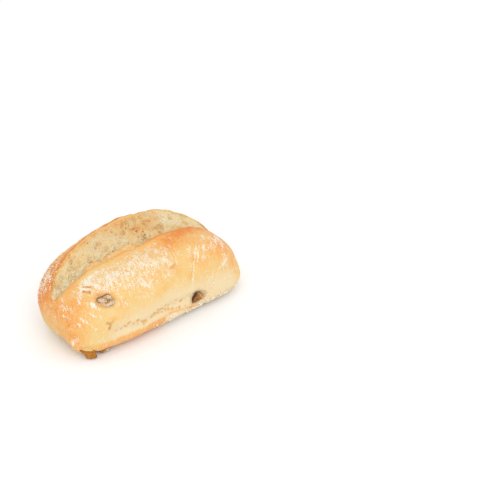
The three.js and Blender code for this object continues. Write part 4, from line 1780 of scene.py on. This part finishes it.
    def _tear(self, surface: Surface, t: Array, st: Stations, edges: list[tuple[Array, Array]]) -> None:
        """Tears the crumb's top: bubbles, cells, pits and fibres, and the fields that the finish reads.

        Args:
            surface: the crumb so far, which is changed.
            t: the way across at each column of the top.
            st: the stations, with a second axis.
            edges: Y and Z of the front and the back rim.
        """
        noise = [DoughNoise(self.seed + i) for i in range(5)]
        shape = surface.rings.shape[:2]
        p = surface.rings[:, : self.columns]
        x = p[..., 0]
        across = np.broadcast_to(t[None, :], x.shape)
        width = np.abs(edges[1][0] - edges[0][0]) * 1.15 + 0.5
        open_wide = ramp(0.0, 0.3, np.broadcast_to(st.gape, x.shape))
        fade = (ramp(0.0, 0.06, across) * ramp(1.0, 0.95, across)) * open_wide
        height = sum(bumps.on(p, field) for bumps, field in zip(self.lumps, noise))
        drift = np.stack([n.rough(p, 3.2, 2) for n in noise[:3]], axis=-1)
        longish = np.array([0.75, 1.0, 1.0])

        # Bubbles that the tear has opened: cups of three sizes round scattered points.
        for number, (size, depth, amount) in enumerate(self.cups):
            near = noise[number].cells((p + 0.35 * size * drift) * longish + 30.0 * number, size)
            open_here = ramp(-amount, amount, noise[4].smooth(p + 50.0 * number, 3.2 * size))
            height -= depth * open_here * (np.sqrt(np.clip(1 - (near / 0.78) ** 2, 0, 1)) - 0.5)

        # Thin torn walls stand where a noise changes sign.
        for size, rise in self.walls:
            height += rise * ramp(0.3, 0.0, np.abs(noise[3].smooth((p + 0.8 * drift) * longish, size)))

        # Pale swellings, strands across the right part, and all round hollows.
        swollen = np.zeros_like(x)
        for spot_x, spot_t, half_x, half_t, rise, tan in self.swellings:
            near = bell((x - spot_x) / half_x, (across - spot_t) * width / half_t)
            height += rise * near
            swollen += tan * near
        strands = noise[2].rough(p * np.array([1.0, 0.3, 0.5]) + 60.0, 1.5, 2) * ramp(12, 20, x)
        height += self.strand_height * strands
        wobble = 0.45 * noise[2].rough(p, 2.2, 2)
        pit = np.zeros_like(x)
        for spot_x, spot_t, radius, depth, stretch, turn, shade in self._spots():
            rows = np.abs(x[:, 0] - spot_x) < self.spot_reach * radius
            if not rows.any():
                continue
            off_x = x[rows] - spot_x
            off_t = (across[rows] - spot_t) * width[rows]
            long_way = (off_x * np.cos(turn) + off_t * np.sin(turn)) / (radius * stretch)
            short_way = (off_t * np.cos(turn) - off_x * np.sin(turn)) / radius
            q = np.hypot(long_way, short_way) + wobble[rows]
            cap = depth * np.sqrt(np.clip(1 - q * q, 0, 1))
            height[rows] += 0.15 * depth * bell((q - 1.1) / 0.3) - cap
            # The deep part of each cup is coloured darker: brown, and painted shade in the recess.
            pit[rows] = np.maximum(pit[rows], shade * ramp(0.15, 0.6, cap))
        ledge = self.slash.ledge(x, t[None, :])
        height *= 1 - 0.45 * ledge
        height += self.ledge_bumps.on(p + 70.0, noise[1]) * ledge + self.fine_bumps.on(p, noise[3])

        # What stands out is toasted, and what lies deep gets painted shade, stronger where the crumb was
        # roasted.
        fine, broad = (height - blurred(height, reach) for reach in ((4, 6), (16, 20)))
        roast = bell((x - 5) / 8.5, (across - 0.72) / 0.2)
        dried = 0.13 * ramp(-31, -22, x) * ramp(26, 16, x) * ramp(0.6, 0.75, across) + 0.14 * roast
        toast = 0.3 + 0.12 * noise[4].rough(p, 9.0, 3) + 0.1 * noise[1].rough(p, 2.4, 2) + swollen
        # The back rim, painted shade in the hollows between the swellings, and the roasted middle.
        rim = ramp(0.88, 0.97, across) * (0.24 + 0.12 * ramp(-8, -28, x)) * ramp(26, 8, x)
        toast += rim + 0.1 * strands
        # Darker toast where the broad relief lies low is painted shade in the hollows.
        toast += 0.16 * ramp(0.15, 0.8, -broad)
        ridges = roast * np.clip(0.28 + 0.9 * broad, 0, 0.5)
        toast += ridges + 0.16 * bell((x - 17.8) / 5.0, (across - 0.8) / 0.12)
        # Paler on the right, behind the ledge and at the left tip, and where the crumb has dried.
        toast -= 0.12 * ramp(17, 27, x) * ramp(0.93, 0.85, across)
        toast -= 0.2 * bell((across - 0.54) / 0.1) * ramp(16, 8, x) + 0.12 * ramp(-34, -42, x)
        toast -= 0.35 * dried
        # The ledge, with its broken edge, and whatever stands out finely.
        broken = 0.3 * bell((t[None, :] - 0.34) / 0.05) * ramp(-0.1, 0.3, noise[0].smooth(p, 2.2))
        toast += ledge * (0.24 + broken)
        toast += 0.25 * np.clip(fine, -0.3, 0.5)
        # Painted shade where the fine relief lies below its surroundings.
        deep = ramp(0.12, 0.5, -fine) * (0.16 + 0.45 * roast) * (1 - ledge)
        pit = np.clip(pit + dried + deep, 0, 0.85)
        relief = np.zeros(shape)
        relief[:, : self.columns] = height * fade
        surface.push(relief)
        looks = {"toast": (np.clip(toast, 0, 1), self.toast_under), "pit": (pit * fade, 0.0)}
        for name, (values, rest) in looks.items():
            surface.fields[name] = np.full(shape, rest)
            surface.fields[name][:, : self.columns] = values

    def _spots(self) -> list[tuple[float, ...]]:
        """Lists the round hollows: bubbles spread evenly, cells at random, and those that stand out.

        Returns:
            X, the way across, radius, depth, stretch, turn, and how much brown and painted shade the deep
            part of each gets. The bubbles are placed by the fractions of whole multiples of three steps,
            which spread evenly.
        """
        rng = np.random.default_rng(self.seed)
        spots = []
        for number in range(1, self.bubbles + 1):
            size_share = (0.3 + self.spreading_steps[0] * number) % 1.0
            along, over = ((0.5 + step * number) % 1.0 for step in self.spreading_steps[1:])
            radius = 2.6 + 3.0 * size_share
            spots.append((-50 + 98 * along, 0.12 + 0.83 * over, radius, 0.13 * radius, 1.35, 0.0, 0.0))
        for _ in range(self.cells):
            radius = 0.3 + 1.2 * rng.random() ** 2.4
            place = rng.uniform(self.first, self.last), rng.uniform(0.03, 0.97)
            form = rng.uniform(0.2, 0.5) * radius, rng.uniform(1.0, 1.8), rng.uniform(0, np.pi)
            spots.append((*place, radius, *form, 0.22))
        return spots + [(*hollow[:4], 1.25, 0.5, hollow[4]) for hollow in self.hollows]

    def build(self) -> bpy.types.Object:
        """Makes and dresses the crumb.

        Returns:
            The object, which stands for the bread together with the crust.
        """
        obj = self.surface().to_object("crumb_in_slash")
        obj.data.materials.append(OpenCrumb().material())
        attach(obj, BODY)
        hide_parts("bread")
        return obj


@dataclass(frozen=True)
class Crowd:
    """A crowd of grains: its middle and half sizes, their number, and the least and greatest radius.

    It is in the roll's frame, in millimetres.
    """

    middle: Triple
    half: Triple
    number: int
    radii: Pair


@dataclass
class FlourGrains:
    """Grains of flour and crumbs of dough that the oven has caked onto the crust, half sunk in it."""

    crowds: tuple[Crowd, ...] = (
        # At the foot on the right and in the front.
        Crowd((31, -30, 1.5), (13, 5, 2.2), 330, (0.25, 0.8)),
        Crowd((46, -24, 1.5), (9, 8, 2.2), 130, (0.25, 0.75)),
        Crowd((25, -28, 7), (9, 5, 6), 90, (0.2, 0.5)),
        Crowd((8, -28.5, 3.5), (12, 4, 3), 190, (0.18, 0.5)),
        # On the left end's back, over the front, on the left end and along the back.
        Crowd((-50, 15, 31), (7, 6, 6), 260, (0.15, 0.45)),
        Crowd((-40, 19, 36), (9, 5, 5), 110, (0.15, 0.4)),
        Crowd((-20, -18, 36), (22, 9, 8), 260, (0.1, 0.24)),
        Crowd((8, -24, 33), (20, 8, 8), 160, (0.1, 0.22)),
        Crowd((-48, -18, 27), (8, 8, 8), 90, (0.1, 0.24)),
        Crowd((0, 28, 14), (48, 8, 12), 160, (0.12, 0.35)),
    )
    jitter: float = 0.22
    squash: float = 0.3
    sunk: float = 0.25
    seed: int = 41

    @staticmethod
    def grain() -> tuple[Array, Array]:
        """Makes one grain, an icosahedron.

        Returns:
            Its 12 corners, (0, 1, golden ratio) with every sign and in every turn, and its 20 faces. Three
            corners that are one edge apart make a face.
        """
        golden = (1 + 5**0.5) / 2
        ends = np.array([(0, a, b * golden) for a in (-1, 1) for b in (-1, 1)])
        corners = np.concatenate([np.roll(ends, turn, axis=1) for turn in range(3)]) / np.hypot(1, golden)
        edge = 2 / np.hypot(1, golden)
        near = np.linalg.norm(corners[:, None] - corners[None], axis=-1) < 1.05 * edge
        trios = [(a, b, c) for a in range(12) for b in range(a) for c in range(b)]
        faces = []
        for a, b, c in trios:
            if near[a, b] and near[b, c] and near[a, c]:
                out = np.dot(np.cross(corners[b] - corners[a], corners[c] - corners[a]), corners[a]) > 0
                faces.append((a, b, c) if out else (a, c, b))
        return corners, np.array(faces)

    def mesh(self, skin: Surface) -> tuple[Array, Array]:
        """Works out all grains.

        Args:
            skin: the crust's surface.

        Returns:
            Their corners, and three corner numbers for each face.
        """
        corners, faces = self.grain()
        rng = np.random.default_rng(self.seed)
        shown = (skin.fields["dust"] > 0).ravel()
        points, normals = skin.rings.reshape(-1, 3), skin.normals().reshape(-1, 3)
        grains = []
        for crowd in self.crowds:
            weight = Patch(crowd.middle, crowd.half, 1.0).at(points) * shown
            pick = rng.choice(len(points), crowd.number, replace=False, p=weight / weight.sum())
            low, high = crowd.radii
            radius = (low + (high - low) * rng.random(crowd.number) ** 2)[:, None, None]
            form = corners * rng.uniform(1 - self.squash, 1 + self.squash, (crowd.number, 1, 3))
            form = form * rng.uniform(1 - self.jitter, 1 + self.jitter, (crowd.number, len(corners), 1))
            grains.append(points[pick, None] + radius * (form + self.sunk * normals[pick, None]))
        cloud = np.concatenate(grains)
        cloud[..., 2] = np.maximum(cloud[..., 2], 0.0)
        numbers = faces[None] + len(corners) * np.arange(len(cloud))[:, None, None]
        return cloud.reshape(-1, 3), numbers.reshape(-1, 3)

    def build(self, skin: Surface) -> bpy.types.Object:
        """Makes and dresses the grains.

        Args:
            skin: the crust's surface.

        Returns:
            The object, which lies on the bread.
        """
        corners, faces = self.mesh(skin)
        obj = new_mesh("flour_grains", corners, faces.tolist())
        obj.data.materials.append(BenchFlour().material())
        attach(obj, BODY)
        return obj


@dataclass
class OlivePieces:
    """The chopped olive pieces, each a pointed, ridged lens whose inner side the knife left flatter."""

    around: int = 64
    down: int = 36
    inner_share: float = 0.65
    bulge: float = 0.8
    ridges: float = 0.07
    nicks: float = 0.04
    saddle: float = 0.1
    wrinkle: float = 0.2
    strand_gap: float = 0.36
    strand_rise: float = 0.35
    seed: int = 23

    def surface(self, olive: OlivePlace, number: int) -> Surface:
        """Works out one piece.

        Args:
            olive: its place and size.
            number: which piece it is, for its wrinkles.

        Returns:
            Its surface, with the fields caught, dust and dough. A ring at the angle a from the top has the
            radius sin(a) to a power, wavy round the piece, and the height cos(a).
        """
        a = (np.pi * np.arange(1, self.down) / self.down)[:, None]
        b = (2 * np.pi * np.arange(self.around) / self.around)[None, :]
        length, breadth, thickness = olive.size
        z = np.minimum(olive.cut, np.cos(a) * np.where(np.cos(a) < 0, self.inner_share, 1.0))
        r = np.sin(a) ** self.bulge * (1 + self.ridges * np.sin(3 * b + length) + self.nicks * np.cos(5 * b))
        local = np.stack(
            [
                length / 2 * r * signed_power(np.cos(b), olive.corners),
                breadth / 2 * r * signed_power(np.sin(b), olive.corners) * (1 + olive.taper * np.cos(b)),
                thickness / 2 * (z + self.saddle * r * np.cos(2 * b)),
            ],
            axis=-1,
        )
        axes = olive.axes()
        rings = local @ axes + olive.middle()
        top, bottom = thickness / 2 * olive.cut, -thickness / 2 * self.inner_share
        tips = np.array([[0, 0, top], [0, 0, bottom]]) @ axes + olive.middle()
        surface = Surface(rings, tips)
        noise = DoughNoise(self.seed + number)
        folds = noise.rough(local * np.array([0.5, 1.0, 1.0]) + 20.0, 1.8, 3)
        share = 2 * local[..., 0] / length + 0.3 * local[..., 1] / breadth + 0.12 * folds
        strands = 0.5 + 0.5 * np.cos(2 * np.pi * share / self.strand_gap)
        dough = olive.dough * ramp(0.0, 0.5, share) * strands
        surface.push((self.wrinkle * folds + self.strand_rise * dough) * np.sin(a) ** 0.5)
        near_rim = bell((np.sin(a) - 1.0) / 0.12) * np.ones_like(b)
        # The rim's burn is real. The darkening where folds lie below 0 is painted shade in the creases.
        rim_burn_and_crease_shade = near_rim * (0.8 + 0.8 * folds) + 0.55 * np.maximum(-folds, 0)
        caught = olive.dark + olive.caught * np.clip(rim_burn_and_crease_shade, 0, 1)
        dust = olive.dust * np.clip(0.8 + 1.1 * folds - 0.5 * near_rim, 0, 1.3)
        surface.fields = {"caught": np.clip(caught, 0, 1), "dust": dust, "dough": dough}
        return surface

    def build(self) -> list[bpy.types.Object]:
        """Makes and dresses every piece.

        Returns:
            The objects, each of which stands for its CAD node.
        """
        finish = OliveFlesh().material()
        made = []
        for number, (name, olive) in enumerate(OLIVES.items()):
            obj = self.surface(olive, number).to_object(name + "_flesh")
            obj.data.materials.append(finish)
            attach(obj, BODY)
            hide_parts(name)
            made.append(obj)
        return made


@dataclass
class Studio:
    """The floor, the light and the camera, which stands where the photograph was taken from."""

    azimuth: float = -42.177
    elevation: float = 31.338
    aim: Triple = (87.067, 12.979, 0.0)
    distance: float = 652.875
    lens: float = 80.0
    sensor: float = 36.0
    floor_half: float = 4.0
    sky: float = 1.05
    key_watts: float = 4.2
    key_size: float = 0.9
    key_from: Triple = (-0.35, -0.85, 0.75)

    def camera(self) -> None:
        """Sets up the camera: its axes come from the azimuth and the elevation it looks along."""
        turn, tilt = np.radians(self.azimuth), np.radians(self.elevation)
        right = np.array([np.cos(turn), np.sin(turn), 0.0])
        ahead = np.array([-np.sin(turn) * np.cos(tilt), np.cos(turn) * np.cos(tilt), -np.sin(tilt)])
        up = np.cross(right, ahead)
        eye = (np.array(self.aim) - ahead * self.distance) * MM
        data = bpy.data.cameras.new("photo_camera")
        data.lens, data.sensor_width = self.lens, self.sensor
        data.clip_start, data.clip_end = 0.01, 100.0
        camera = put_in_scene("photo_camera", data)
        turned = Matrix(np.stack([right, up, -ahead], axis=1)).to_4x4()
        camera.matrix_world = Matrix.Translation(Vector(eye)) @ turned
        bpy.context.scene.camera = camera

    def floor(self) -> None:
        """Lays the floor under the roll."""
        h = self.floor_half
        mesh = bpy.data.meshes.new("floor")
        mesh.from_pydata([(-h, -h, 0), (h, -h, 0), (h, h, 0), (-h, h, 0)], [], [(0, 1, 2, 3)])
        mesh.materials.append(PaintedFloor().material())
        floor = put_in_scene("floor", mesh)

    def lights(self) -> None:
        """Sets the even white surroundings and one large soft light from the upper left."""
        world = bpy.data.worlds.new("studio")
        world.use_nodes = True
        world.node_tree.nodes.clear()
        nodes = Nodes(world.node_tree)
        sky = nodes.add("Background", {"Color": (1, 1, 1, 1), "Strength": self.sky})
        nodes.add("OutputWorld", {"Surface": sky})
        bpy.context.scene.world = world
        data = bpy.data.lights.new("key", "AREA")
        data.energy, data.size = self.key_watts, self.key_size
        key = put_in_scene("key", data)
        key.location = self.key_from
        key.rotation_euler = (-Vector(self.key_from)).to_track_quat("-Z", "Y").to_euler()
        bpy.context.scene.view_settings.view_transform = "Standard"

    def build(self) -> None:
        """Sets up everything round the roll."""
        self.camera()
        self.floor()
        self.lights()


def main() -> None:
    """Builds the roll and its studio."""
    logging.basicConfig(level=logging.INFO, format="%(name)s: %(message)s")
    Studio().build()
    loaf, slash = LoafForm(), SlashForm()
    crust = Crust(loaf, slash, CrustRelief())
    skin = crust.surface()
    dough = [crust.build(skin), FlourGrains().build(skin), Crumb(loaf, slash).build()]
    pieces = dough + OlivePieces().build()
    for piece in pieces:
        LOG.info("%s: %d vertices, %d faces", piece.name, len(piece.data.vertices), len(piece.data.polygons))


if __name__ == "__main__":
    main()
